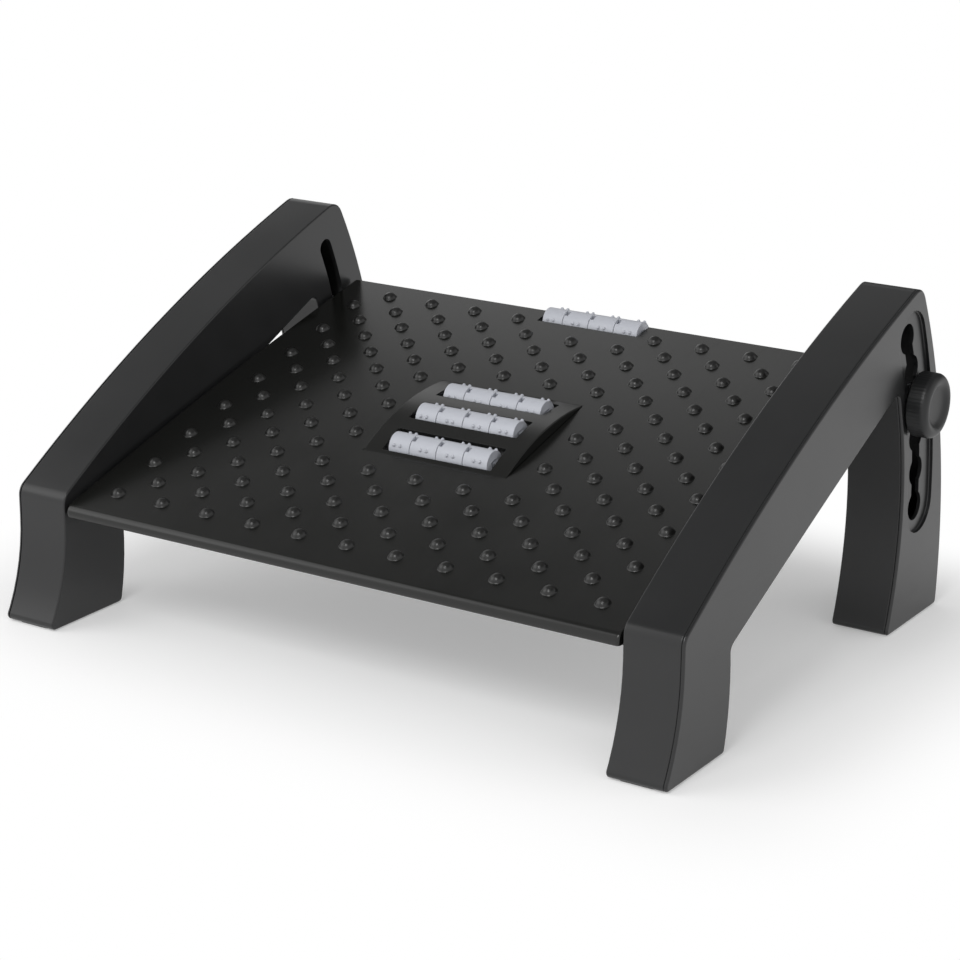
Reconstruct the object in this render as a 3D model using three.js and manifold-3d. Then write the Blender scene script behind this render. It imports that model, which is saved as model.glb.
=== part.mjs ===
// Tilting under-desk footrest: two arched side frames carry a bumped deck on a
// pivot rod, and a knob on each side clamps the deck's rear bolt in one of six notches.
// Millimetres. +X is right, +Y is back, +Z is up, and the floor is z = 0.

import * as THREE from 'three';
import { mergeVertices } from 'three/addons/utils/BufferGeometryUtils.js';
import Module from 'manifold-3d';

const wasm = await Module();
wasm.setup();

// Clearances
const fit = 0.3; // between pieces that touch
const overrun = 2; // how far a cutter passes the face that it cuts
const bite = 0.5; // how deep a joined feature sinks into its carrier

// Pivot and tilt lock, as the side view shows them
const restTilt = 15; // degrees
const notchStep = 5; // degrees
const notchCount = 6;
const pivotHeight = 75;
const lockRadius = 261; // pivot to clamp bolt

// Side frames
const innerSpan = 389.8; // between the two inner faces
const frameThick = 37.2;
const frameWall = 3;
const edgeBevel = 1.6; // on the long edges
const shinSetback = 17.5; // the curved shin runs back this far
const pivotBehindNose = 33.5;
const noseAbovePivot = 7;
const noseFlat = 18;
const frontFootDepth = 67.2;
const frontKneeBehindPivot = 20;
const frontKneeBelowPivot = 14;
const heelBehindBolt = 46.3;
const rearFootDepth = 72.6;
const crestAboveSlot = 30.5;
const crestAheadOfHeel = 47.6;
const rearKneeAheadOfHeel = 73.4;
const rearKneeBelowCrest = 59.8;
const shinBow = 4.5;
const calfBow = 2.6;
const underBow = 3.5;
const rearShinBow = 13.9;
const rearEdgeBow = 17.2;
const beamTopBow = 10.5;
const footCorner = 3;
const noseCorner = 9;
const crestCorner = 8;
const kneeCorner = 5;

// Outer covers
const coverThick = 3;
const rimDepth = 3;
const rimWall = 2;
const pegRadius = 2.4;
const pegLength = 12;
const pegBossWall = 2.4;

// Foot pads
const padThick = 1.6;
const padProud = 0.6;
const padMargin = 5;
const padCorner = 4;

// Pivot rod, its clips and thrust washers
const rodRadius = 4;
const rodBossRadius = 8;
const rodBossLength = 14;
const rodEnd = 2; // beyond the clip
const clipThick = 1.2;
const clipRadius = 6.6;
const grooveDepth = 0.9;
const thrustWasherRadius = 8;

// Deck, in its own frame: v up the slope from the pivot, h square to the slope
const deckSideGap = 1.9; // to each side frame
const lipAhead = 33.8; // front edge ahead of the pivot
const deckBehindBolt = 19.2;
const deckEdgeRise = 10.5; // top surface above the pivot at its front and rear edges
const deckCrown = 3.1;
const plateThick = 3;
const deckCorner = 5;
const lipHeight = 7;
const lipDepth = 5;
const skirtDrop = 9; // below the pivot axis
const skirtAhead = 15;
const ribThick = 2.5;
const ribBays = 3; // on each half of the deck
const crossRibHeight = 9;
const crossRibGap = 18; // to the roller bridge
const deckBossRadius = 7;
const deckBossLength = 12;

// Bumps on the deck
const bumpRadius = 5.3;
const bumpHeight = 3.2;
const bumpSink = 0.8;
const bumpShoulderShare = 0.66; // of a bump's height
const bumpMargin = 9; // from a bump's centre to the deck's edge
const columnPitch = 34;
const rowPitch = 18.17;
const firstRowAhead = 9.3;

// Rollers
const drumRadius = 8.6;
const segmentLength = 18.8;
const firstSegmentShort = 4;
const lastSegmentShort = 1.5;
const nubHeight = 1.1;
const nubWidth = 1.9;
const innerPair = 12.3; // nub places from a segment's notched end
const outerPair = 7.9;
const pairPitch = 4.3;
const nubRowLean = 34; // degrees, first nub row behind the upright
const notchLean = 11; // degrees, first window ahead of the upright
const windowWidth = 2.8;
const windowSpan = 4;
const windowDepth = 2.6;
const axleSquare = 5;
const journalRadius = 2;
const journalLength = 3.4;
const rollerPitch = 30.6;
const rollerSink = 4.3; // axis below the surface above it
const rearRollerInset = 4.5; // axis ahead of the deck's rear edge

// Roller bridge
const bridgeCentre = 127.7; // behind the pivot
const bridgeRollerLead = 1.5; // middle roller ahead of the bridge's centre
const bridgeEnd = 4.6; // from the outer rollers' slots to the bridge's front and rear
const bridgeSide = 12.3; // from the slots' ends to the bridge's sides
const bridgeRise = 6.7;
const bridgeWall = 2.5;
const bridgeSink = 2; // edge below the deck's top surface
const bridgeLedge = 7; // deck ledge under each side of the bridge
const slotEndPlay = 3.6;
const rearSlotEndPlay = 2.2;
const cradleThick = 4;
const cradleDrop = 4.4; // cradle below the axle's centre
const mouthHalf = 1.6;
const screwRadius = 1.5;
const screwHeadRadius = 2.8;
const screwHeadHeight = 2;
const screwBite = 5;
const screwBossWall = 1.2;

// Clamp bolt, sleeve, washers, knob, slot and notch seats
const channelWidth = 10.8;
const seatRadius = 8;
const seatDepth = 1.5;
const recessDepth = 1.6;
const recessHalf = 18;
const recessShift = 2; // recess centre line outside the slot's
const recessEndLift = 0.8; // degrees
const innerSlotWidth = 12.3;
const boltRadius = 4;
const boltHeadRadius = 7.5;
const boltHeadHeight = 5.3;
const boltBossRadius = 8.5;
const boltBossLength = 30;
const boltBeyondFace = 10;
const sleeveRadius = 5.8;
const washerRadius = 12;
const innerWasherThick = 2;
const clampWasherThick = 1.4;
const shoulderLength = 2.6;
const knobRadius = 19.2;
const knobLength = 13.6;
const knobFlutes = 32;
const fluteDepth = 0.5;
const knobRimRound = 2;
const dishRadius = 15;
const dishFlat = 9;
const dishDepth = 2;
const nutRadius = 7.5;
const nutHeight = 6.5;

// Smoothness
const roundSides = 16;
const smallSides = 10;
const bumpSides = 6;
const nubSides = 4;
const bowTolerance = 0.3; // a curved edge stands this far from its chords
const deckSteps = 4;
const slotSteps = 8;
const capSteps = 5;
const cornerSteps = 2;

// Cover pegs as shares of the frame's depth and height
const pegShares = [[0.118, 0.13], [0.42, 0.585], [0.752, 0.79], [0.907, 0.13]];

// Side view, y from the front toe and z from the floor
const radians = THREE.MathUtils.degToRad;
const fullTilt = notchStep * (notchCount - 1);
const pivotY = shinSetback + pivotBehindNose;
const pivotZ = pivotHeight;
const heelY = pivotY + lockRadius * Math.cos(radians(restTilt)) + heelBehindBolt;
const crestZ = pivotZ + lockRadius * Math.sin(radians(fullTilt)) + crestAboveSlot;
const noseZ = pivotZ + noseAbovePivot;

// Along X, for the right-hand side
const innerFace = innerSpan / 2;
const outerFace = innerFace + frameThick;
const seam = outerFace - coverThick;
const deckHalfWidth = innerFace - deckSideGap;
const rodBossEnd = innerFace + frameWall + rodBossLength;
const clipX = rodBossEnd + fit;
const recessFloor = outerFace - recessDepth;
const lockWallInside = recessFloor - coverThick;
const innerWasherBack = lockWallInside - fit - innerWasherThick;
const clampWasherBack = recessFloor + fit;
const knobBack = clampWasherBack + clampWasherThick + fit;
const boltEnd = outerFace + boltBeyondFace;

// Bores
const rodClear = rodRadius + fit;
const boltClear = boltRadius + fit;

// Deck places
const deckBehind = lockRadius + deckBehindBolt;
const deckMiddle = (deckBehind - lipAhead) / 2;
const deckHalfLength = (deckBehind + lipAhead) / 2;
const ribSpacing = deckHalfWidth / ribBays;

// Roller and bridge places
const segmentLengths = [
  segmentLength - firstSegmentShort,
  segmentLength,
  segmentLength,
  segmentLength - lastSegmentShort,
];
const drumLength = segmentLengths.reduce((sum, length) => sum + length + fit, -fit);
const rollerReach = drumRadius + nubHeight;
const slotHalfLength = drumLength / 2 + slotEndPlay;
const rearSlotHalfLength = drumLength / 2 + rearSlotEndPlay;
const slotHalfWidth = Math.sqrt(rollerReach ** 2 - Math.max(rollerSink - bridgeWall, 0) ** 2) + fit;
const middleRollerV = bridgeCentre - bridgeRollerLead;
const rearRollerV = deckBehind - rearRollerInset;
const rearNotchFront = rearRollerV - rollerReach - 2 * fit;
const bridgeHalfWidth = slotHalfLength + bridgeSide;
const bridgeHalfLength = rollerPitch + slotHalfWidth + bridgeEnd;
const bridgeFront = bridgeCentre - bridgeHalfLength;
const bridgeBack = bridgeCentre + bridgeHalfLength;
const bridgeBase = deckTop(bridgeFront) - bridgeSink;
const openingHalfWidth = bridgeHalfWidth - bridgeLedge;
const openingFront = middleRollerV - rollerPitch - rollerReach - 2 * fit;
const openingBack = middleRollerV + rollerPitch + rollerReach + 2 * fit;

// Materials
const material = (color, roughness, metalness = 0) =>
  new THREE.MeshStandardMaterial({ color, roughness, metalness, flatShading: true });
const frameBlack = material(0x242527, 0.45);
const deckBlack = material(0x1f2021, 0.5);
const knobBlack = material(0x1b1c1d, 0.4);
const rollerGrey = material(0xc6c9d2, 0.45);
const steel = material(0xb4b7ba, 0.3, 1);
const nylon = material(0xd9d8d2, 0.5);
const rubber = material(0x161616, 0.85);

// Solids from three.js geometry, and back

function solid(geometry) {
  geometry.deleteAttribute('normal');
  geometry.deleteAttribute('uv');
  const welded = mergeVertices(geometry);
  const vertProperties = Float32Array.from(welded.attributes.position.array);
  const triVerts = Uint32Array.from(welded.index.array);
  return new wasm.Manifold(new wasm.Mesh({ numProp: 3, vertProperties, triVerts }));
}

function geometryOf(manifold) {
  const { vertProperties, triVerts } = manifold.getMesh();
  const geometry = new THREE.BufferGeometry();
  geometry.setAttribute('position', new THREE.BufferAttribute(vertProperties, 3));
  geometry.setIndex(new THREE.BufferAttribute(triVerts, 1));
  geometry.computeVertexNormals();
  return geometry;
}

const joined = (solids) => solids.reduce((sum, next) => sum.add(next));

// Places along X in rising order, for the right side or mirrored to the left
const ordered = (side, a, b) => (side > 0 ? [a, b] : [-b, -a]);

// Shape x becomes Y, shape y becomes Z, and the extrusion runs along X
const sideways = new THREE.Matrix4().makeBasis(
  new THREE.Vector3(0, 1, 0),
  new THREE.Vector3(0, 0, 1),
  new THREE.Vector3(1, 0, 0),
);

function alongX(points, [low, high], edge = 0) {
  const geometry = new THREE.ExtrudeGeometry(new THREE.Shape(points), {
    depth: high - low - 2 * edge,
    bevelEnabled: edge > 0,
    bevelThickness: edge,
    bevelSize: edge,
    bevelOffset: -edge,
    bevelSegments: 1,
  });
  geometry.translate(0, 0, low + edge);
  geometry.applyMatrix4(sideways);
  return solid(geometry);
}

function alongZ(points, [low, high]) {
  const geometry = new THREE.ExtrudeGeometry(new THREE.Shape(points), {
    depth: high - low,
    bevelEnabled: false,
  });
  geometry.translate(0, 0, low);
  return solid(geometry);
}

function box(x, y, z) {
  const geometry = new THREE.BoxGeometry(x[1] - x[0], y[1] - y[0], z[1] - z[0]);
  geometry.translate((x[0] + x[1]) / 2, (y[0] + y[1]) / 2, (z[0] + z[1]) / 2);
  return solid(geometry);
}

function rodX(radius, [low, high], y, z, sides = roundSides) {
  const geometry = new THREE.CylinderGeometry(radius, radius, high - low, sides);
  geometry.rotateZ(Math.PI / 2);
  geometry.translate((low + high) / 2, y, z);
  return solid(geometry);
}

function rodZ(radius, [low, high], x, y) {
  const geometry = new THREE.CylinderGeometry(radius, radius, high - low, smallSides);
  geometry.rotateX(Math.PI / 2);
  geometry.translate(x, y, (low + high) / 2);
  return solid(geometry);
}

function ringX(radius, bore, [low, high], y, z, sides = roundSides) {
  const cutter = rodX(bore, [low - overrun, high + overrun], y, z, smallSides);
  return rodX(radius, [low, high], y, z, sides).subtract(cutter);
}

// A revolved profile's faces are turned to point out, whichever way its points run
function revolved(profile, sides) {
  const geometry = new THREE.LatheGeometry(profile, sides);
  const trial = solid(geometry);
  if (trial.volume() > 0) return geometry;
  return new THREE.LatheGeometry(profile.toReversed(), sides);
}

// A profile of [radius, place along X] revolved about the line y, z
function revolvedX(profile, y, z, sides) {
  const geometry = revolved(profile.map(([radius, x]) => point(radius, x)), sides);
  geometry.rotateZ(-Math.PI / 2);
  geometry.translate(0, y, z);
  return solid(geometry);
}

// Outlines

function point(x, y) {
  return new THREE.Vector2(x, y);
}

function arcPoints(centre, radius, from, to, steps) {
  return Array.from({ length: steps }, (_, i) => {
    const angle = from + ((to - from) * i) / steps;
    return point(Math.cos(angle), Math.sin(angle)).multiplyScalar(radius).add(centre);
  });
}

// Points from a towards b, on an arc that stands off to the right by bow
function bowedEdge(a, b, bow) {
  if (bow === 0) return [a];
  const chord = b.clone().sub(a);
  const half = chord.length() / 2;
  const radius = (half ** 2 + bow ** 2) / (2 * Math.abs(bow));
  const right = point(chord.y, -chord.x).normalize();
  const centre = a.clone().add(b).multiplyScalar(1 / 2);
  centre.addScaledVector(right, bow - Math.sign(bow) * radius);
  const from = a.clone().sub(centre).angle();
  const turn = 2 * Math.asin(half / radius) * Math.sign(bow);
  const steps = Math.ceil(Math.sqrt(Math.abs(bow) / bowTolerance));
  return arcPoints(centre, radius, from, from + turn, steps);
}

// Corners run anticlockwise as {at, round, bow}; bow belongs to the edge that follows
function outline(corners, inset = 0) {
  const points = corners.flatMap(({ at, round = 0, bow = 0 }, i) => {
    const next = corners[(i + 1) % corners.length].at;
    return bowedEdge(at, next, bow).map((p, k) => ({ at: p, round: k === 0 ? round : 0 }));
  });
  const moved = points.map(({ round }, i) => ({ at: insetPoint(points, i, inset), round }));
  return moved.flatMap((_, i) => roundedCorner(moved, i, inset));
}

function edgesAt(points, i) {
  const before = points[(i + points.length - 1) % points.length].at;
  const after = points[(i + 1) % points.length].at;
  return [points[i].at.clone().sub(before), after.clone().sub(points[i].at)];
}

function insetPoint(points, i, inset) {
  const [arrive, leave] = edgesAt(points, i).map((edge) => edge.normalize());
  const inward = point(-arrive.y - leave.y, arrive.x + leave.x);
  return points[i].at.clone().addScaledVector(inward, inset / (1 + arrive.dot(leave)));
}

// An inset tightens an outside corner's round and widens an inside corner's
function roundedCorner(points, i, inset) {
  const { at, round } = points[i];
  const [arrive, leave] = edgesAt(points, i);
  const side = Math.sign(arrive.cross(leave));
  const wanted = round - inset * side;
  if (round === 0 || wanted <= 0) return [at];
  const turn = arrive.angleTo(leave);
  const room = Math.min(arrive.length(), leave.length()) / 2;
  const reach = Math.min(wanted * Math.tan(turn / 2), room);
  const radius = reach / Math.tan(turn / 2);
  const start = at.clone().addScaledVector(arrive.normalize(), -reach);
  const centre = start.clone().addScaledVector(point(-arrive.y, arrive.x), radius * side);
  const from = start.clone().sub(centre).angle();
  const sweep = (turn * side * (cornerSteps + 1)) / cornerSteps;
  return arcPoints(centre, radius, from, from + sweep, cornerSteps + 1);
}

function roundedRectangle([xLow, xHigh], [yLow, yHigh], round) {
  const corners = [[xLow, yLow], [xHigh, yLow], [xHigh, yHigh], [xLow, yHigh]];
  return outline(corners.map(([x, y]) => ({ at: point(x, y), round })));
}

// A band about the pivot between two angles in degrees, with round ends
function curvedSlot(radius, half, fromDegrees, toDegrees) {
  const [from, to] = [radians(fromDegrees), radians(toDegrees)];
  const pivot = point(pivotY, pivotZ);
  const endAt = (angle) => point(Math.cos(angle), Math.sin(angle)).multiplyScalar(radius).add(pivot);
  return [
    ...arcPoints(pivot, radius + half, from, to, slotSteps),
    ...arcPoints(endAt(to), half, to, to + Math.PI, capSteps),
    ...arcPoints(pivot, radius - half, to, from, slotSteps),
    ...arcPoints(endAt(from), half, from + Math.PI, from + 2 * Math.PI, capSteps),
  ];
}

// Side frames

function sideOutline(inset = 0) {
  const base = padProud;
  return outline([
    { at: point(0, base), round: footCorner },
    { at: point(frontFootDepth, base), round: footCorner, bow: calfBow },
    {
      at: point(pivotY + frontKneeBehindPivot, pivotZ - frontKneeBelowPivot),
      round: kneeCorner,
      bow: -underBow,
    },
    {
      at: point(heelY - rearKneeAheadOfHeel, crestZ - rearKneeBelowCrest),
      round: kneeCorner,
      bow: -rearShinBow,
    },
    { at: point(heelY - rearFootDepth, base), round: footCorner },
    { at: point(heelY, base), round: footCorner, bow: rearEdgeBow },
    { at: point(heelY - crestAheadOfHeel, crestZ), round: crestCorner, bow: beamTopBow },
    { at: point(shinSetback, noseZ), round: noseCorner },
    { at: point(shinSetback, noseZ - noseFlat), bow: -shinBow },
  ], inset);
}

const frameBlock = (side) => alongX(sideOutline(), ordered(side, innerFace, outerFace), edgeBevel);

// Foot pads lie between these places along Y
const padSpans = {
  front: [padMargin, frontFootDepth - padMargin],
  rear: [heelY - rearFootDepth + padMargin, heelY - padMargin],
};

function padSolid(side, [front, back], grow, height) {
  const across = ordered(side, innerFace + padMargin - grow, seam - padMargin + grow);
  return alongZ(roundedRectangle(across, [front - grow, back + grow], padCorner), height);
}

const pegPlaces = pegShares.map(([deepShare, highShare]) => [deepShare * heelY, highShare * crestZ]);

// A tray, open towards its cover, with the pivot boss and the peg sockets inside
function frameShell(side) {
  const wallInside = innerFace + frameWall;
  const socketEnd = seam - rimDepth - fit;
  const cavity = alongX(sideOutline(frameWall), ordered(side, wallInside, outerFace + overrun));
  const coverSpace = alongX(sideOutline(-overrun), ordered(side, seam - fit, outerFace + overrun));
  const socketSpan = ordered(side, wallInside - bite, socketEnd);
  const socketRadius = pegRadius + fit + pegBossWall;
  const sockets = pegPlaces.map(([y, z]) => rodX(socketRadius, socketSpan, y, z, smallSides));
  const rodBoss = rodX(rodBossRadius, ordered(side, wallInside - bite, rodBossEnd), pivotY, pivotZ);
  const tray = frameBlock(side).subtract(cavity).subtract(coverSpace);
  return joined([tray, rodBoss, ...sockets]).subtract(shellCuts(side));
}

function shellCuts(side) {
  const pegSpan = ordered(side, seam - pegLength - 2 * fit, outerFace);
  const pegBores = pegPlaces.map(([y, z]) => rodX(pegRadius + fit, pegSpan, y, z, smallSides));
  const rodSpan = ordered(side, innerFace - overrun, rodBossEnd + overrun);
  const slot = curvedSlot(lockRadius, innerSlotWidth / 2, 0, fullTilt);
  const slotSpan = ordered(side, innerFace - overrun, innerFace + frameWall + overrun);
  const padPockets = Object.values(padSpans).map((span) => padPocket(side, span));
  return joined([
    rodX(rodClear, rodSpan, pivotY, pivotZ, smallSides),
    alongX(slot, slotSpan),
    ...pegBores,
    ...padPockets,
  ]);
}

const padPocket = (side, span) => padSolid(side, span, fit, [-overrun, padThick + fit]);

function recessOutline(grow = 0) {
  const radius = lockRadius + recessShift;
  return curvedSlot(radius, recessHalf + grow, recessEndLift, fullTilt - recessEndLift);
}

// The outer plate with its locating rim and pegs, thickened behind the tilt slot
function frameCover(side) {
  const rimGap = frameWall + fit;
  const behind = seam - rimDepth;
  const plate = frameBlock(side).intersect(
    alongX(sideOutline(-overrun), ordered(side, seam, outerFace + overrun)),
  );
  const rim = alongX(sideOutline(rimGap), ordered(side, behind, seam + bite)).subtract(
    alongX(sideOutline(rimGap + rimWall), ordered(side, behind - overrun, seam)),
  );
  const lockWall = alongX(
    recessOutline(coverThick),
    ordered(side, lockWallInside, seam + bite),
  ).intersect(alongX(sideOutline(rimGap), ordered(side, behind, outerFace)));
  const pegSpan = ordered(side, seam - pegLength, seam + bite);
  const pegs = pegPlaces.map(([y, z]) => rodX(pegRadius, pegSpan, y, z, smallSides));
  return joined([plate, rim, lockWall, ...pegs]).subtract(lockCuts(side));
}

// The recess that the washer slides in, the bolt's channel and the notch seats
function lockCuts(side) {
  const outside = outerFace + overrun;
  const recess = alongX(recessOutline(), ordered(side, recessFloor, outside));
  const channel = alongX(
    curvedSlot(lockRadius, channelWidth / 2, 0, fullTilt),
    ordered(side, lockWallInside - overrun, outside),
  );
  const seatSpan = ordered(side, recessFloor - seatDepth, outside);
  const seats = Array.from({ length: notchCount }, (_, i) => {
    const angle = radians(notchStep * i);
    const y = pivotY + lockRadius * Math.cos(angle);
    const z = pivotZ + lockRadius * Math.sin(angle);
    return rodX(seatRadius, seatSpan, y, z);
  });
  return joined([recess, channel, ...seats]);
}

// Pivot rod and the clips in its grooves

function pivotRod() {
  const grooveRadius = rodRadius - grooveDepth;
  const half = [
    [rodRadius, clipX - fit],
    [grooveRadius, clipX - fit],
    [grooveRadius, clipX + clipThick + fit],
    [rodRadius, clipX + clipThick + fit],
    [rodRadius, clipX + clipThick + rodEnd],
    [0, clipX + clipThick + rodEnd],
  ];
  const mirrored = half.map(([radius, x]) => [radius, -x]).toReversed();
  return revolvedX([...mirrored, ...half], pivotY, pivotZ, smallSides);
}

function rodClip(side) {
  const bore = rodRadius - grooveDepth + fit;
  const span = ordered(side, clipX, clipX + clipThick);
  const mouth = box(
    [span[0] - overrun, span[1] + overrun],
    [pivotY - rodRadius + grooveDepth, pivotY + rodRadius - grooveDepth],
    [pivotZ - clipRadius - overrun, pivotZ],
  );
  return ringX(clipRadius, bore, span, pivotY, pivotZ).subtract(mouth);
}

// Deck

function deckTop(v) {
  const radius = (deckHalfLength ** 2 + deckCrown ** 2) / (2 * deckCrown);
  return deckEdgeRise + deckCrown - radius + Math.sqrt(radius ** 2 - (v - deckMiddle) ** 2);
}

// Points up the slope, each lowered by drop from a top surface
function surfacePoints(surface, from, to, drop) {
  return Array.from({ length: deckSteps + 1 }, (_, i) => {
    const v = from + ((to - from) * i) / deckSteps;
    return point(v, surface(v) - drop);
  });
}

// The crowned plate and its turned-down round lip
function plateOutline() {
  const nose = lipHeight / 2;
  const centre = point(nose - lipAhead, deckTop(nose - lipAhead) - nose);
  const lipBack = lipDepth - lipAhead;
  return [
    ...surfacePoints(deckTop, centre.x, deckBehind, 0).toReversed(),
    ...arcPoints(centre, nose, Math.PI / 2, (3 * Math.PI) / 2, capSteps).slice(1),
    point(centre.x, centre.y - nose),
    point(lipBack, centre.y - nose),
    ...surfacePoints(deckTop, lipBack, deckBehind, plateThick),
  ];
}

function longRib(x, back) {
  const profile = [
    point(-skirtAhead, -skirtDrop),
    point(back, -skirtDrop),
    ...surfacePoints(deckTop, -skirtAhead, back, plateThick - bite).toReversed(),
  ];
  return alongX(profile, [x - ribThick / 2, x + ribThick / 2]);
}

function crossRib(v, low) {
  const reach = deckHalfWidth - ribThick / 2;
  return box([-reach, reach], [v, v + ribThick], [low, deckTop(v) - plateThick + bite]);
}

const deepCrossRib = (v) => crossRib(v, -skirtDrop);
const shallowCrossRib = (v) => crossRib(v, deckTop(v) - plateThick - crossRibHeight);

function deckRibs() {
  const skirtX = deckHalfWidth - ribThick / 2;
  const ribPlaces = [-2, -1, 1, 2].map((n) => n * ribSpacing);
  const bossSpan = (x) => [x - deckBossLength / 2, x + deckBossLength / 2];
  return joined([
    ...ribPlaces.map((x) => longRib(x, deckBehind - ribThick / 2)),
    ...ribPlaces.map((x) => rodX(deckBossRadius, bossSpan(x), 0, 0)),
    longRib(-skirtX, deckBehind),
    longRib(skirtX, deckBehind),
    deepCrossRib(-skirtAhead),
    deepCrossRib(deckBehind - ribThick),
    shallowCrossRib(bridgeFront - crossRibGap),
    shallowCrossRib(bridgeBack + crossRibGap),
  ]);
}

function sideBosses(side) {
  const rodSpan = ordered(side, deckHalfWidth - deckBossLength, deckHalfWidth);
  const boltSpan = ordered(side, deckHalfWidth - boltBossLength, deckHalfWidth);
  return rodX(deckBossRadius, rodSpan, 0, 0).add(rodX(boltBossRadius, boltSpan, lockRadius, 0));
}

// A thicker ledge round the bridge's pocket
function pocketLedge() {
  const margin = ribThick + fit;
  return box(
    [-bridgeHalfWidth - margin, bridgeHalfWidth + margin],
    [bridgeFront - margin, bridgeBack + margin],
    [bridgeBase - plateThick, deckTop(bridgeFront) - bite],
  );
}

function bridgePocket() {
  const above = deckTop(deckMiddle) + overrun;
  const pocket = box(
    [-bridgeHalfWidth - fit, bridgeHalfWidth + fit],
    [bridgeFront - fit, bridgeBack + fit],
    [bridgeBase - fit, above],
  );
  const through = [-skirtDrop, above];
  return pocket.add(box([-openingHalfWidth, openingHalfWidth], [openingFront, openingBack], through));
}

// Ears beside the rear notch carry the rear roller
function rearEars() {
  const axis = deckTop(rearRollerV) - rollerSink;
  const along = [rearRollerV - cradleDrop - fit, deckBehind];
  const up = [axis - cradleDrop, deckTop(rearRollerV) - plateThick + bite];
  const across = [rearSlotHalfLength, rearSlotHalfLength + cradleThick];
  return joined([-1, 1].map((side) => box(ordered(side, ...across), along, up)));
}

// Snap seats, open below, for the two journals of an axle
function snapSeats(v, h, slotHalf) {
  return joined([-1, 1].map((side) => {
    const span = ordered(side, slotHalf - overrun, slotHalf + cradleThick + bite);
    const mouth = box(span, [v - mouthHalf, v + mouthHalf], [h - cradleDrop - overrun, h]);
    return rodX(journalRadius + fit, span, v, h, smallSides).add(mouth);
  }));
}

const screwPlaces = [-1, 1].flatMap((side) => {
  const x = side * (bridgeHalfWidth - bridgeLedge / 2);
  const inset = bridgeLedge + bridgeWall;
  return [bridgeFront + inset, bridgeBack - inset].map((v) => [x, v]);
});

// Alternate rows are shifted by half a column
function bumpPlaces() {
  const rows = Math.floor((deckBehind + firstRowAhead - bumpMargin) / rowPitch) + 1;
  const places = [];
  for (let row = 0; row < rows; row += 1) {
    const v = row * rowPitch - firstRowAhead;
    const shift = row % 2 ? columnPitch / 2 : 0;
    const reach = deckHalfWidth - bumpMargin - shift;
    const count = Math.floor(reach / columnPitch);
    for (let i = row % 2 ? -count - 1 : -count; i <= count; i += 1) {
      places.push([i * columnPitch + shift, v]);
    }
  }
  return places.filter(([x, v]) => !atBridge(x, v) && !atRearNotch(x, v));
}

function atBridge(x, v) {
  const beside = Math.abs(x) > bridgeHalfWidth + bumpRadius;
  return !beside && v > bridgeFront - bumpRadius && v < bridgeBack + bumpRadius;
}

function atRearNotch(x, v) {
  return Math.abs(x) < rearSlotHalfLength + bumpRadius && v > rearNotchFront - bumpRadius;
}

// A round bump that stands on the point below its middle
function bump() {
  const dome = (bumpRadius ** 2 + bumpHeight ** 2) / (2 * bumpHeight);
  const shoulder = bumpHeight * bumpShoulderShare;
  const shoulderRadius = Math.sqrt(dome ** 2 - (shoulder + dome - bumpHeight) ** 2);
  const flare = ((bumpRadius - shoulderRadius) * bumpSink) / shoulder;
  const geometry = revolved([
    point(0, -bumpSink),
    point(bumpRadius + flare, -bumpSink),
    point(shoulderRadius, shoulder),
    point(0, bumpHeight),
  ], bumpSides);
  geometry.rotateX(Math.PI / 2);
  return solid(geometry);
}

function bumps() {
  const shape = bump();
  return joined(bumpPlaces().map(([x, v]) => shape.translate([x, v, deckTop(v)])));
}

function platformDeck() {
  const across = [-deckHalfWidth, deckHalfWidth];
  const below = -skirtDrop - overrun;
  const above = deckTop(deckMiddle) + overrun;
  const plan = roundedRectangle(across, [-lipAhead, deckBehind], deckCorner);
  const body = joined([
    alongX(plateOutline(), across),
    deckRibs(),
    sideBosses(-1),
    sideBosses(1),
    pocketLedge(),
  ]).intersect(alongZ(plan, [below, above]));
  const rearNotch = box(
    [-rearSlotHalfLength, rearSlotHalfLength],
    [rearNotchFront, deckBehind + overrun],
    [below, above],
  );
  return body.subtract(rearNotch).add(rearEars()).subtract(deckBores()).add(bumps());
}

function deckBores() {
  const across = [-deckHalfWidth - overrun, deckHalfWidth + overrun];
  const screwBores = screwPlaces.map(([x, v]) => rodZ(screwRadius + fit, [-skirtDrop, bridgeBase], x, v));
  return joined([
    bridgePocket(),
    snapSeats(rearRollerV, deckTop(rearRollerV) - rollerSink, rearSlotHalfLength),
    rodX(rodClear, across, 0, 0, smallSides),
    rodX(boltClear, across, lockRadius, 0, smallSides),
    ...screwBores,
  ]);
}

// Roller bridge

function bridgeTop(v) {
  const radius = (bridgeHalfLength ** 2 + bridgeRise ** 2) / (2 * bridgeRise);
  const fall = radius - Math.sqrt(radius ** 2 - (v - bridgeCentre) ** 2);
  return deckTop(bridgeFront) + bridgeRise - fall;
}

const rollerPlaces = [
  { name: 'front', v: middleRollerV - rollerPitch, surface: bridgeTop, slotHalf: slotHalfLength },
  { name: 'middle', v: middleRollerV, surface: bridgeTop, slotHalf: slotHalfLength },
  { name: 'back', v: middleRollerV + rollerPitch, surface: bridgeTop, slotHalf: slotHalfLength },
  { name: 'rear', v: rearRollerV, surface: deckTop, slotHalf: rearSlotHalfLength },
].map((at) => ({ ...at, h: at.surface(at.v) - rollerSink }));
const bridgeRollers = rollerPlaces.slice(0, 3);

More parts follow.
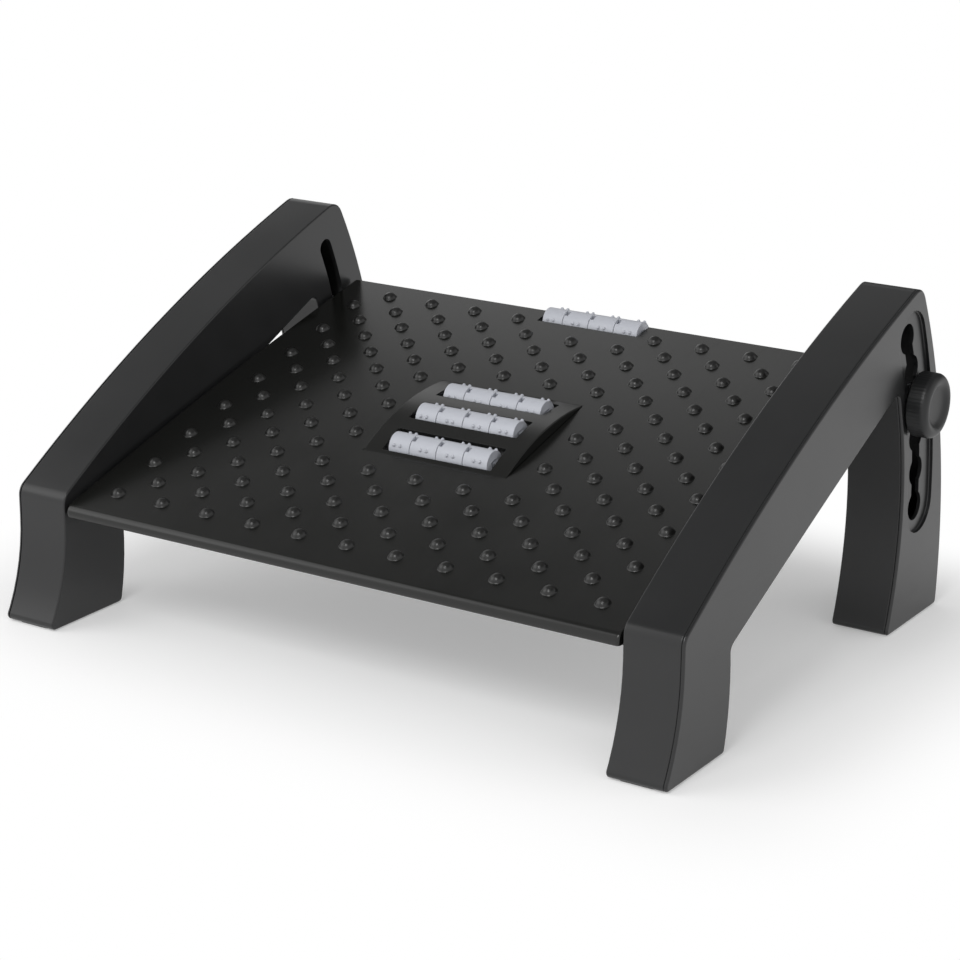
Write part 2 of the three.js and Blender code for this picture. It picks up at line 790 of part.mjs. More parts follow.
function rollerBridge() {
  const inside = [bridgeFront + bridgeWall, bridgeBack - bridgeWall];
  const outer = [
    point(bridgeFront, bridgeBase),
    point(bridgeBack, bridgeBase),
    ...surfacePoints(bridgeTop, bridgeFront, bridgeBack, 0).toReversed(),
  ];
  const inner = [
    point(inside[0], bridgeBase - overrun),
    point(inside[1], bridgeBase - overrun),
    ...surfacePoints(bridgeTop, ...inside, bridgeWall).toReversed(),
  ];
  const innerHalf = bridgeHalfWidth - bridgeWall;
  const shell = alongX(outer, [-bridgeHalfWidth, bridgeHalfWidth]);
  const hollow = alongX(inner, [-innerHalf, innerHalf]);
  return joined([shell.subtract(hollow), ...cradles(), ...screwBosses()]).subtract(bridgeCuts());
}

// Walls under the bridge that carry the axles at the ends of the slots
function cradles() {
  const low = Math.min(...bridgeRollers.map(({ h }) => h)) - cradleDrop;
  const along = [openingFront + fit, openingBack - fit];
  const wall = [
    point(along[0], low),
    point(along[1], low),
    ...surfacePoints(bridgeTop, ...along, bridgeWall - bite).toReversed(),
  ];
  return [-1, 1].map((side) =>
    alongX(wall, ordered(side, slotHalfLength, slotHalfLength + cradleThick)));
}

function screwBosses() {
  return screwPlaces.map(([x, v]) => {
    const span = [bridgeBase, bridgeTop(v) - bridgeWall + bite];
    return rodZ(screwRadius + screwBossWall, span, x, v);
  });
}

function bridgeCuts() {
  const across = [-slotHalfLength, slotHalfLength];
  const slots = bridgeRollers.map(({ v, h }) =>
    box(across, [v - slotHalfWidth, v + slotHalfWidth], [bridgeBase, h + rollerReach]));
  const seats = bridgeRollers.map(({ v, h, slotHalf }) => snapSeats(v, h, slotHalf));
  const bores = screwPlaces.map(([x, v]) =>
    rodZ(screwRadius + fit, [bridgeBase - overrun, bridgeBase + screwBite], x, v));
  return joined([...slots, ...seats, ...bores]);
}

function bridgeScrew([x, v]) {
  const headTop = bridgeBase - plateThick - fit;
  const head = rodZ(screwHeadRadius, [headTop - screwHeadHeight, headTop], x, v);
  return head.add(rodZ(screwRadius, [headTop - bite, bridgeBase + screwBite - fit], x, v));
}

// Rollers

function axle({ v, h, slotHalf }) {
  const square = [-axleSquare / 2, axleSquare / 2];
  const reach = slotHalf - fit;
  const bar = box([-reach, reach], square.map((s) => v + s), square.map((s) => h + s));
  const end = slotHalf + journalLength;
  return bar.add(rodX(journalRadius, [-end, end], v, h, smallSides));
}

// A feature built upright above the drum's axis, leaned to the front about it
function leaned(feature, degrees, v, h) {
  return feature.rotate([degrees, 0, 0]).translate([0, v, h]);
}

function nub(x) {
  const geometry = new THREE.ConeGeometry(nubWidth, 2 * nubHeight, nubSides);
  geometry.rotateX(Math.PI / 2);
  geometry.translate(x, 0, drumRadius);
  return solid(geometry);
}

function rimWindow(x) {
  const half = windowSpan / 2;
  const up = [drumRadius - windowDepth, drumRadius + overrun];
  return box([x - overrun, x + windowWidth], [-half, half], up);
}

// The first segment is cut short at its plain end, the others have windows there
function segment(index, { v, h }) {
  const from = segmentLengths.slice(0, index).reduce((x, length) => x + length + fit, -drumLength / 2);
  const to = from + segmentLengths[index];
  const half = axleSquare / 2 + fit;
  const bore = box([from - overrun, to + overrun], [v - half, v + half], [h - half, h + half]);
  const facetHalf = 180 / roundSides;
  const drum = leaned(rodX(drumRadius, [from, to], 0, 0), facetHalf - nubRowLean, v, h);
  const quarters = [0, 90, 180, 270];
  const nubs = quarters.flatMap((quarter, i) => {
    const near = from + (i % 2 ? outerPair : innerPair) - (index ? 0 : firstSegmentShort);
    return [near, near + pairPitch].map((x) => leaned(nub(x), quarter - nubRowLean, v, h));
  });
  const windows = quarters.map((quarter) => leaned(rimWindow(from), quarter + notchLean, v, h));
  const cuts = index ? joined([bore, ...windows]) : bore;
  return joined([drum, ...nubs]).subtract(cuts);
}

// Clamp bolt, washers and knob

function clampBolt(side) {
  const headFace = deckHalfWidth - boltBossLength - fit;
  const head = rodX(boltHeadRadius, ordered(side, headFace - boltHeadHeight, headFace), lockRadius, 0, 6);
  const shank = rodX(boltRadius, ordered(side, headFace - bite, boltEnd), lockRadius, 0, smallSides);
  return head.add(shank);
}

// Its shoulder runs in the cover's channel
function clampWasher(side) {
  const shoulderBack = clampWasherBack - shoulderLength;
  const plate = rodX(
    washerRadius,
    ordered(side, clampWasherBack, clampWasherBack + clampWasherThick),
    lockRadius,
    0,
  );
  const shoulder = rodX(
    channelWidth / 2 - fit,
    ordered(side, shoulderBack, clampWasherBack + bite),
    lockRadius,
    0,
  );
  const boreSpan = ordered(side, shoulderBack - overrun, knobBack);
  const bore = rodX(boltClear, boreSpan, lockRadius, 0, smallSides);
  return plate.add(shoulder).subtract(bore);
}

function knob(side) {
  const face = knobBack + knobLength;
  const profile = [
    [0, knobBack],
    [knobRadius, knobBack],
    [knobRadius, face - knobRimRound],
    [knobRadius - knobRimRound, face],
    [dishRadius, face],
    [dishFlat, face - dishDepth],
    [0, face - dishDepth],
  ];
  const mirrored = profile.map(([radius, x]) => [radius, side * x]);
  const pocketSpan = ordered(side, knobBack - overrun, knobBack + nutHeight + 2 * fit);
  return revolvedX(mirrored, lockRadius, 0, knobFlutes)
    .intersect(alongX(fluteStar(), ordered(side, knobBack - overrun, face + overrun)))
    .subtract(rodX(nutRadius + fit, pocketSpan, lockRadius, 0, 6))
    .subtract(rodX(boltClear, ordered(side, knobBack, boltEnd + fit), lockRadius, 0, smallSides));
}

// A star whose inner points cut a groove between each two lands of the rim
function fluteStar() {
  const centre = point(lockRadius, 0);
  return Array.from({ length: 2 * knobFlutes }, (_, i) => {
    const angle = (Math.PI * i) / knobFlutes;
    const radius = knobRadius + (i % 2 ? fluteDepth : -fluteDepth);
    return point(Math.cos(angle), Math.sin(angle)).multiplyScalar(radius).add(centre);
  });
}

function knobNut(side) {
  const span = ordered(side, knobBack + fit, knobBack + fit + nutHeight);
  return ringX(nutRadius, boltClear, span, lockRadius, 0, 6);
}

// Assembly

const footrest = new THREE.Group();
const deckFrame = new THREE.Group();
deckFrame.position.set(0, pivotY, pivotZ);
deckFrame.rotation.x = radians(restTilt);
footrest.add(deckFrame);

function place(group, name, shape, look) {
  const mesh = new THREE.Mesh(geometryOf(shape), look);
  mesh.name = name;
  group.add(mesh);
}

function placeFrame(name, side) {
  const thrustSpan = ordered(side, deckHalfWidth + fit, innerFace - fit);
  place(footrest, `${name}_frame_shell`, frameShell(side), frameBlack);
  place(footrest, `${name}_frame_cover`, frameCover(side), frameBlack);
  for (const [end, span] of Object.entries(padSpans)) {
    place(footrest, `${name}_${end}_pad`, padSolid(side, span, 0, [0, padThick]), rubber);
  }
  place(footrest, `${name}_rod_clip`, rodClip(side), steel);
  const thrustWasher = ringX(thrustWasherRadius, rodClear, thrustSpan, pivotY, pivotZ);
  place(footrest, `${name}_pivot_washer`, thrustWasher, nylon);
}

function placeLock(name, side) {
  const sleeveSpan = ordered(side, deckHalfWidth + fit, innerWasherBack - fit);
  const washerSpan = ordered(side, innerWasherBack, innerWasherBack + innerWasherThick);
  const sleeve = ringX(sleeveRadius, boltClear, sleeveSpan, lockRadius, 0, smallSides);
  const innerWasher = ringX(washerRadius, boltClear, washerSpan, lockRadius, 0);
  place(deckFrame, `${name}_clamp_bolt`, clampBolt(side), steel);
  place(deckFrame, `${name}_sleeve`, sleeve, steel);
  place(deckFrame, `${name}_inner_washer`, innerWasher, steel);
  place(deckFrame, `${name}_clamp_washer`, clampWasher(side), steel);
  place(deckFrame, `${name}_knob`, knob(side), knobBlack);
  place(deckFrame, `${name}_knob_nut`, knobNut(side), steel);
}

place(footrest, 'pivot_rod', pivotRod(), steel);
place(deckFrame, 'platform_deck', platformDeck(), deckBlack);
place(deckFrame, 'roller_bridge', rollerBridge(), deckBlack);
screwPlaces.forEach((at, i) => place(deckFrame, `bridge_screw_${i + 1}`, bridgeScrew(at), steel));
for (const roller of rollerPlaces) {
  place(deckFrame, `${roller.name}_roller_axle`, axle(roller), steel);
  segmentLengths.forEach((_, i) => {
    place(deckFrame, `${roller.name}_roller_segment_${i + 1}`, segment(i, roller), rollerGrey);
  });
}
for (const [name, side] of [['left', -1], ['right', 1]]) {
  placeFrame(name, side);
  placeLock(name, side);
}

// The origin is on the floor, under the middle of the whole
footrest.updateMatrixWorld(true);
footrest.position.y = -new THREE.Box3().setFromObject(footrest).getCenter(new THREE.Vector3()).y;

export default footrest;
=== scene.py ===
import math

import bmesh
import bpy
from mathutils import Matrix, Vector

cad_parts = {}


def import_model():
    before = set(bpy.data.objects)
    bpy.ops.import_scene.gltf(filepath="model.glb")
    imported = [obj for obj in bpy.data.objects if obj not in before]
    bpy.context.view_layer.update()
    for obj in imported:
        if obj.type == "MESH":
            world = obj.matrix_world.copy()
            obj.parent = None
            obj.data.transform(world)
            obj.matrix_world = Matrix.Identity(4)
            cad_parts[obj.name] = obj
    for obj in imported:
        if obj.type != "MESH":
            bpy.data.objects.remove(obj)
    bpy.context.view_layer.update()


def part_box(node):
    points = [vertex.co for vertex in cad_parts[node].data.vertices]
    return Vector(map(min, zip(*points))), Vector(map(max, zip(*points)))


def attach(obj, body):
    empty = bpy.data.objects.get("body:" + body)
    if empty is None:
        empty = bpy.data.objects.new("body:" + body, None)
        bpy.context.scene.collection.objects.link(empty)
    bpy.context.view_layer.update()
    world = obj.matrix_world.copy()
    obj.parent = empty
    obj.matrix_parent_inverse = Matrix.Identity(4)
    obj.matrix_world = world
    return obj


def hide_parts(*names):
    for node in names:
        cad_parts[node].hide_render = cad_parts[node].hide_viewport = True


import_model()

# Lengths are in millimetres until a mesh is made, apart from those of the floor, the lamps
# and the materials, which are in metres. In the side view y runs back from the front toe.
# In the deck's own frame v runs up the slope from the pivot and h stands square to it.
MM = 0.001
FIT = 0.3
TILT = math.radians(15)
low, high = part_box("pivot_rod")
PIVOT = Vector((51, 75))
SHIFT = (low.y + high.y) / 2 / MM - PIVOT.x

# Side frames
INNER, OUTER, SEAM = 194.9, 232.1, 230.4
HEEL, CREST = 349.406, 215.804
FRAME_WALL = 3
EDGE = 1.0
SEAM_GAP, SEAM_EDGE = 0.25, 0.9
COVER_SEAM_EDGE, COVER_EDGE = 0.15, 1.5
FRONT_FOOT, REAR_FOOT = 67.2, 73.5
FRONT_KNEE = (71, 61)
REAR_KNEE = (HEEL - 73.9, CREST - 60.3)
CREST_AHEAD = 47.6
SHIN, SHIN_TOP, FRONT_TOP = 17.5, 64, 82
TOE_ROUND, FOOT_ROUND, KNEE_ROUND, CREST_ROUND, FRONT_ROUND = 3.3, 3, 5, 11, 9
CALF_BOW, UNDER_BOW, REAR_SHIN_BOW = 2.6, -1, -13.9
HEEL_BOW, TOP_BOW, SHIN_BOW = 17.14, 10.5, -4.5

# Foot pads
PAD_PROUD = 0.6
PAD_MARGIN = 5
PAD_THICK = 1.6
PAD_CORNER, PAD_EDGE = 4, 0.4
FRONT_PAD = (PAD_MARGIN, 62.2)
REAR_PAD = (HEEL - 67.6, HEEL - PAD_MARGIN)

# Pivot rod, its clips and washers
SHANK, BORE = 4, 4.3
CHAMFER = 0.6
BOSS_RADIUS, BOSS_START, BOSS_END = 8, INNER + 2.5, 211.9
GROOVE_END, GROOVE_RADIUS = 213.7, 3.1
ROD_END = 215.4
CLIP_BACK, CLIP_FRONT = 212.2, 213.4
CLIP_RADIUS, CLIP_BORE, CLIP_MOUTH_HALF = 6.6, 3.4, 3.1
PIVOT_WASHER_RADIUS = 8
RING_EDGE = 0.2
BORE_CUT = (INNER - 4, INNER + 8)

# Tilt lock
LOCK = 261
NOTCHES = [math.radians(5 * n) for n in range(6)]
RECESS_FLOOR = OUTER - 2.3
RECESS_START, RECESS_END = math.radians(0.2), NOTCHES[-1] - math.radians(0.5)
WALL_INSIDE = RECESS_FLOOR - 2.3
RECESS_RADIUS, RECESS_HALF, RECESS_EDGE, RECESS_WALL = LOCK + 2, 18, 0.4, 2
CHANNEL_HALF, CHANNEL_SPREAD = 5.4, math.radians(0.3)
SEAT_RADIUS = 9.2
INNER_SLOT_HALF = 6.15
INNER_SLOT_CUT = (INNER - 4, INNER + 5)
OVERRUN = 3
CLAMP_BACK = OUTER - 1.6 + FIT
CLAMP_THICK = 1.4
CLAMP_TIP, CLAMP_TIP_RADIUS = 228.2, 5.1
WASHER_RADIUS = 12
INNER_WASHER = (225.2, 227.2)
SLEEVE_END, SLEEVE_RADIUS = 224.9, 5.8
BOLT_HEAD, BOLT_SHANK_START = (157.4, 162.7), 162
BOLT_END = OUTER + 10
NUT_RADIUS, NUT_THICK, HEX_EDGE = 7.5, 6.5, 0.5

# Knobs
KNOB_BACK = CLAMP_BACK + CLAMP_THICK + FIT
KNOB_RADIUS = 19.9
KNOB_ROUND, KNOB_ROUND_START = 4.4, 9.2
FLUTES, FLUTE_STEPS = 54, 6
FLUTE_DEPTH = 0.1
FLUTE_FADE = 1.4
KNOB_REAR = [(0, 18.7, 0), (0.6, 19.6, 0.6)] + [(x, KNOB_RADIUS, 1) for x in (1.0, 5, 8.6)]
KNOB_TURN = [math.radians(a) for a in (0, 12, 24, 36, 48, 60, 75, 90)]
KNOB_DISH = [
    (13.5, 14.6), (13.2, 13.7), (12.7, 12.8), (12.05, 11.8),
    (11.5, 10.8), (11.15, 9.6), (11, 8), (11, 4),
]
NUT_POCKET_DEEP, NUT_POCKET_RADIUS = 7.1, 7.8

# Deck
HALF_WIDTH = 193.0
LIP = -33.8
BEHIND = 280.2
MIDDLE = (LIP + BEHIND) / 2
EDGE_RISE, CROWN = 10.5, 3.1
PLATE = 3
CORNER, EASED = 2.2, 1.2
NOSE, NOSE_DEEP = 5.2, 7
NOSE_FOOT = [(0.05, -NOSE - 0.6), (0.3, 0.5 - NOSE_DEEP), (1.2, -NOSE_DEEP)]
FLAT_COLUMNS = [0, 48, 96, 144]
DECK_ROWS, NOSE_STEPS = 36, 10
LIP_DEPTH = 6.5
SKIRT = -9
SKIRT_AHEAD = -15
SKIRT_CORNER, SKIRT_CORNER_STEPS = 5, 8
RIB, RIB_BAYS, RIB_STEPS = 2.5, 3, 24
CROSS_RIB, CROSS_RIB_GAP = 9, 18
SINK = 0.3
CUT_LOW, CUT_HIGH = -20, 30
RIB_BOSS_RADIUS, RIB_BOSS_HALF, RIB_BOSS_EDGE = 7, 6, 0.4
DECK_BOSS_END = 192.9
DECK_BOSS_START, LOCK_BOSS_START, LOCK_BOSS_RADIUS = 181, 163, 8.5

# Bumps
BUMP_RADIUS, BUMP_HEIGHT = 4.5, 3.4
BUMP_ROWS, ROW_PITCH, FIRST_ROW = 16, 18.17, -9.3
COLUMN_PITCH, BUMP_REACH = 34, 184
BUMP_MARGIN = 5.3
BUMP_COLUMNS, BUMP_SIDES = 6, 24
BUMP_FOOT = [(0.5, -0.1), (0.15, 0.1), (-0.05, 0.4)]
BUMP_RINGS = [0.88, 0.76, 0.64, 0.5, 0.34, 0.17]

# Rollers and their bridge
DRUM, DRUM_SIDES = 8.6, 64
DRUM_EDGE = [(0, 0.35), (0.12, 0.1), (0.4, 0)]
LENGTHS = [14.8, 18.8, 18.8, 17.3]
DRUM_LENGTH = sum(LENGTHS) + 3 * FIT
NUB_HEIGHT, NUB_ROW_LEAN, NUB_SIDES = 1.1, 34, 12
NUB = [(1.5, -0.4), (1.15, 0.05), (1.0, 0.4), (0.82, 0.8), (0.5, 1.02), (0.2, NUB_HEIGHT)]
INNER_PAIR, OUTER_PAIR, PAIR_PITCH, FIRST_SHORT = 12.3, 7.9, 4.3, 4
WINDOW_LEAN, WINDOW_HALF, WINDOW_DEPTH, WINDOW_LENGTH = 11, 2, 2.6, 2.8
WINDOW_CUT_AHEAD, WINDOW_CUT_OUT = 1, 2
SQUARE_HALF, SQUARE_BORE_HALF, SQUARE_BORE_CUT = 2.5, 2.8, 2
JOURNAL_RADIUS, JOURNAL_LENGTH, JOURNAL_EDGE = 2, 3.4, 0.3
SLOT_HALF = DRUM_LENGTH / 2 + 3.6
REAR_SLOT_HALF = DRUM_LENGTH / 2 + 2.2
SLOT_WIDE = math.sqrt((DRUM + NUB_HEIGHT) ** 2 - 1.8 ** 2) + FIT
ROLLER_PITCH, ROLLERS_AHEAD = 30.6, 1.5
AXLE_DEPTH, REAR_AXLE_AHEAD, DRUM_GAP = 4.3, 4.5, 1.7
SEAT_BELOW, SEAT_WALL, EAR_AHEAD = 4.4, 4, 4.7
SNAP_RADIUS, SNAP_MOUTH_HALF, SNAP_MOUTH_DEEP = 2.3, 1.6, 7
BRIDGE_MIDDLE = 127.7
BRIDGE_HALF = 51.2
BRIDGE_LONG = ROLLER_PITCH + SLOT_WIDE + 4.6
BRIDGE_FRONT = BRIDGE_MIDDLE - BRIDGE_LONG
BRIDGE_BACK = BRIDGE_MIDDLE + BRIDGE_LONG
BRIDGE_RISE = 6.7
BRIDGE_WALL = 2.5
BRIDGE_EDGE = 0.8
BRIDGE_LET_IN, LEDGE_BELOW, HOLLOW_BELOW = 2, 1, 4
BRIDGE_STEPS, UNDER_STEPS = 32, 24
SLOT_CORNER, SLOT_CUT_HIGH = 1, 12
WEB_HALF = 0.8
OPENING_MARGIN = 7
SCREW_X, SCREW_FROM_END = BRIDGE_HALF - 3.5, 9.5
SCREW_ROWS = (BRIDGE_FRONT + SCREW_FROM_END, BRIDGE_BACK - SCREW_FROM_END)
SCREW_BOSS_RADIUS = 2.7
SCREW_SHANK, SCREW_SHANK_LENGTH = 1.5, 6
SCREW_HEAD = [(0, 2.8), (0.8, 2.8), (1.5, 2.3), (2, 1.3)]
CROSS_LONG_HALF, CROSS_THIN_HALF, CROSS_START, CROSS_END = 1.7, 0.35, 0.9, 4


def arch_height(half, rise, offset):
    radius = (half ** 2 + rise ** 2) / (2 * rise)
    return rise - radius + math.sqrt(radius ** 2 - offset ** 2)


def deck_top(v):
    return EDGE_RISE + arch_height((BEHIND - LIP) / 2, CROWN, v - MIDDLE)


def bridge_top(v):
    return deck_top(BRIDGE_FRONT) + arch_height(BRIDGE_LONG, BRIDGE_RISE, v - BRIDGE_MIDDLE)


BRIDGE_BASE = deck_top(BRIDGE_FRONT) - BRIDGE_LET_IN
ROLLERS_MIDDLE = BRIDGE_MIDDLE - ROLLERS_AHEAD
ROLLERS = {
    name: (v, top(v) - AXLE_DEPTH, slot)
    for name, v, top, slot in (
        ("front", ROLLERS_MIDDLE - ROLLER_PITCH, bridge_top, SLOT_HALF),
        ("middle", ROLLERS_MIDDLE, bridge_top, SLOT_HALF),
        ("back", ROLLERS_MIDDLE + ROLLER_PITCH, bridge_top, SLOT_HALF),
        ("rear", BEHIND - REAR_AXLE_AHEAD, deck_top, REAR_SLOT_HALF),
    )
}
BRIDGE_ROLLERS = list(ROLLERS.values())[:3]
OPENING = (ROLLERS["front"][0] - DRUM - DRUM_GAP, ROLLERS["back"][0] + DRUM + DRUM_GAP)
NOTCH_FRONT = ROLLERS["rear"][0] - DRUM - DRUM_GAP
CRADLE_LOW = min(h for _, h, _ in BRIDGE_ROLLERS) - SEAT_BELOW


# Places: a point of a shape becomes a point of the whole, in millimetres

def side_view(x, y, z):
    return Vector((x, y + SHIFT, z))


def on_deck(x, v, h):
    y = PIVOT.x + v * math.cos(TILT) - h * math.sin(TILT)
    return side_view(x, y, PIVOT.y + v * math.sin(TILT) + h * math.cos(TILT))


def free(x, y, z):
    return Vector((x, y, z))


# Outlines in a plane

ROUND_STEPS = 6


def arc(centre, radius, start, end, steps):
    angles = (start + (end - start) * i / steps for i in range(steps))
    return [centre + radius * Vector((math.cos(a), math.sin(a))) for a in angles]


def bowed(a, b, bow):
    """Points from a towards b on an arc that stands off to the right by bow."""
    if not bow:
        return [a]
    half = (b - a).length / 2
    radius = (half ** 2 + bow ** 2) / (2 * abs(bow))
    right = Vector((b.y - a.y, a.x - b.x)).normalized()
    centre = (a + b) / 2 + right * (bow - math.copysign(radius, bow))
    start = math.atan2(a.y - centre.y, a.x - centre.x)
    turn = 2 * math.asin(half / radius) * math.copysign(1, bow)
    return arc(centre, radius, start, start + turn, max(4, round(half / 5)))


def rounded(points, i, inset):
    at, radius = points[i]
    arrive = (at - points[i - 1][0]).normalized()
    leave = (points[(i + 1) % len(points)][0] - at).normalized()
    if not radius:
        return [at]
    side = math.copysign(1, arrive.cross(leave))
    radius = max(radius - inset * side, 0.05)
    turn = arrive.angle(leave)
    start = at - arrive * radius * math.tan(turn / 2)
    centre = start + Vector((-arrive.y, arrive.x)) * radius * side
    first = math.atan2(start.y - centre.y, start.x - centre.x)
    whole = turn * side * (ROUND_STEPS + 1) / ROUND_STEPS
    return arc(centre, radius, first, first + whole, ROUND_STEPS + 1)


def outline(corners, inset=0):
    """Corners run anticlockwise as (point, round, bow of the edge that follows)."""
    points = []
    for i, (at, radius, bow) in enumerate(corners):
        after = corners[(i + 1) % len(corners)][0]
        edge = bowed(Vector(at), Vector(after), bow)
        points += [(p, radius if k == 0 else 0) for k, p in enumerate(edge)]
    moved = []
    for i, (at, radius) in enumerate(points):
        arrive = (at - points[i - 1][0]).normalized()
        leave = (points[(i + 1) % len(points)][0] - at).normalized()
        inward = Vector((-arrive.y - leave.y, arrive.x + leave.x))
        moved.append((at + inward * inset / (1 + arrive.dot(leave)), radius))
    return [p for i in range(len(moved)) for p in rounded(moved, i, inset)]


def side_outline(inset=0):
    return outline([
        ((0, PAD_PROUD), TOE_ROUND, 0),
        ((FRONT_FOOT, PAD_PROUD), FOOT_ROUND, CALF_BOW),
        (FRONT_KNEE, KNEE_ROUND, UNDER_BOW),
        (REAR_KNEE, KNEE_ROUND, REAR_SHIN_BOW),
        ((HEEL - REAR_FOOT, PAD_PROUD), FOOT_ROUND, 0),
        ((HEEL, PAD_PROUD), FOOT_ROUND, HEEL_BOW),
        ((HEEL - CREST_AHEAD, CREST), CREST_ROUND, TOP_BOW),
        ((SHIN, FRONT_TOP), FRONT_ROUND, 0),
        ((SHIN, SHIN_TOP), 0, SHIN_BOW),
    ], inset)


def rectangle(x, y, radius, inset=0):
    corners = [(x[0], y[0]), (x[1], y[0]), (x[1], y[1]), (x[0], y[1])]
    return outline([(at, radius, 0) for at in corners], inset)


def curved_slot(radius, half, start, end, inset=0):
    """A band about the pivot with round ends."""
    half -= inset
    ends = [PIVOT + radius * Vector((math.cos(a), math.sin(a))) for a in (start, end)]
    return [
        *arc(PIVOT, radius + half, start, end, 24),
        *arc(ends[1], half, end, end + math.pi, 16),
        *arc(PIVOT, radius - half, end, start, 24),
        *arc(ends[0], half, start + math.pi, start + 2 * math.pi, 16),
    ]


def circle(centre, radius, sides=48):
    return arc(Vector(centre), radius, 0, 2 * math.pi, sides)


# Meshes

def mesh_object(name, points, faces):
    mesh = bpy.data.meshes.new(name)
    mesh.from_pydata([p * MM for p in points], [], faces)
    bm = bmesh.new()
    bm.from_mesh(mesh)
    bmesh.ops.remove_doubles(bm, verts=bm.verts, dist=1e-7)
    bmesh.ops.recalc_face_normals(bm, faces=bm.faces)
    bm.to_mesh(mesh)
    bm.free()
    obj = bpy.data.objects.new(name, mesh)
    bpy.context.scene.collection.objects.link(obj)
    return obj


def loft(rings, place):
    """A skin over rings of equal count, with flat ends."""
    count = len(rings[0])
    points = [place(*p) for ring in rings for p in ring]
    faces = []
    for k in range(len(rings) - 1):
        for i in range(count):
            j = (i + 1) % count
            a, b = k * count, (k + 1) * count
            faces.append((a + i, a + j, b + j, b + i))
    faces.append(tuple(range(count)))
    faces.append(tuple(range(len(points) - count, len(points))))
    return mesh_object("shape", points, faces)


def edge_stations(low, high, at_low, at_high, steps=4):
    """Places from low to high with their insets, for rounded ends of a prism."""
    angles = [math.pi / 2 * k / steps for k in range(steps + 1)]
    first = [(low + at_low * (1 - math.cos(a)), at_low * (1 - math.sin(a))) for a in angles]
    last = [(high - at_high * (1 - math.cos(a)), at_high * (1 - math.sin(a))) for a in angles]
    return (first if at_low else [(low, 0)]) + (last[::-1] if at_high else [(high, 0)])


def along_x(shape, stations, place, side=1):
    """shape(inset) gives the outline at each place and inset along X."""
    rings = [[(side * x, p.x, p.y) for p in shape(inset)] for x, inset in stations]
    return loft(rings, place)


def along_h(shape, stations, place):
    rings = [[(p.x, p.y, h) for p in shape(inset)] for h, inset in stations]
    return loft(rings, place)


def box(x, v, h, place):
    return along_x(lambda _: rectangle(v, h, 0), [(x[0], 0), (x[1], 0)], place)


def turned(profile, y, z, place, side=1, sides=48):
    """A profile of (x, radius) turned about an axis along X."""
    rings = [
        [(side * x, p.x, p.y) for p in circle((y, z), radius, sides)]
        for x, radius in profile
    ]
    return loft(rings, place)


def rod(span, radius, y, z, place, side=1, sides=48, edge=0):
    return turned([
        *([(span[0], radius - edge)] if edge else []),
        (span[0] + edge, radius),
        (span[1] - edge, radius),
        *([(span[1], radius - edge)] if edge else []),
    ], y, z, place, side, sides)


def boolean(obj, operation, *cutters):
    for cutter in cutters:
        modifier = obj.modifiers.new("cut", "BOOLEAN")
        modifier.operation = operation
        modifier.solver = "EXACT"
        modifier.object = cutter
    graph = bpy.context.evaluated_depsgraph_get()
    mesh = bpy.data.meshes.new_from_object(obj.evaluated_get(graph))
    obj.modifiers.clear()
    obj.data = mesh
    for cutter in cutters:
        bpy.data.objects.remove(cutter)
    return obj


def cut(obj, *cutters):
    return boolean(obj, "DIFFERENCE", *cutters)


def joined(objs):
    bm = bmesh.new()
    for obj in objs:
        bm.from_mesh(obj.data)
    mesh = bpy.data.meshes.new("joined")
    bm.to_mesh(mesh)
    bm.free()
    for obj in objs[1:]:
        bpy.data.objects.remove(obj)
    objs[0].data = mesh
    return objs[0]


def finished(obj, name, body, nodes, material, angle=32):
    obj.name = obj.data.name = name
    obj.data.shade_smooth()
    obj.data.set_sharp_from_angle(angle=math.radians(angle))
    obj.data.materials.clear()
    obj.data.materials.append(material)
    weighted = obj.modifiers.new("weighted", "WEIGHTED_NORMAL")
    weighted.keep_sharp = True
    weighted.weight = 80
    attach(obj, body)
    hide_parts(*nodes)
    return obj


# Materials

class Nodes:
    """A material's node tree with short calls for its nodes and links."""

    def __init__(self, name):
        self.material = bpy.data.materials.new(name)
        self.material.use_nodes = True
        self.tree = self.material.node_tree
        self.shader = self.tree.nodes["Principled BSDF"]
        self.coordinates = self.add("ShaderNodeTexCoord").outputs["Object"]

    def add(self, kind, **values):
        node = self.tree.nodes.new(kind)
        for key, value in values.items():
            if key in node.inputs:
                self.put(value, node.inputs[key])
            else:
                setattr(node, key, value)
        return node

    def put(self, value, socket):
        if isinstance(value, bpy.types.NodeSocket):
            self.tree.links.new(value, socket)
        else:
            socket.default_value = value

    def noise(self, scale, detail=3, stretch=None):
        vector = self.coordinates
        if stretch:
            vector = self.add("ShaderNodeMapping", Vector=vector, Scale=stretch).outputs[0]
        return self.add("ShaderNodeTexNoise", Vector=vector, Scale=scale, Detail=detail).outputs[0]

    def between(self, value, low, high, near=0.3, far=0.7):
        node = self.add("ShaderNodeMapRange", Value=value)
        for i, number in enumerate((near, far, low, high)):
            node.inputs[i + 1].default_value = number
        return node.outputs[0]

    def mix(self, factor, a, b):
        node = self.add("ShaderNodeMix", data_type="RGBA")
        for socket, value in ((node.inputs[0], factor), (node.inputs[6], a), (node.inputs[7], b)):
            self.put(value, socket)
        return node.outputs[2]

    def bump(self, height, strength, distance, normal=None):
        node = self.add("ShaderNodeBump", Height=height, Strength=strength, Distance=distance)
        if normal:
            self.put(normal, node.inputs["Normal"])
        return node.outputs[0]

    def soft_edges(self, radius):
        return self.add("ShaderNodeBevel", samples=4, Radius=radius).outputs[0]


def rgb(*values):
    return (*values, 1)


GRAIN_DEPTH = 0.00004
MOULDED_EDGE, METAL_EDGE = 0.0004, 0.0003


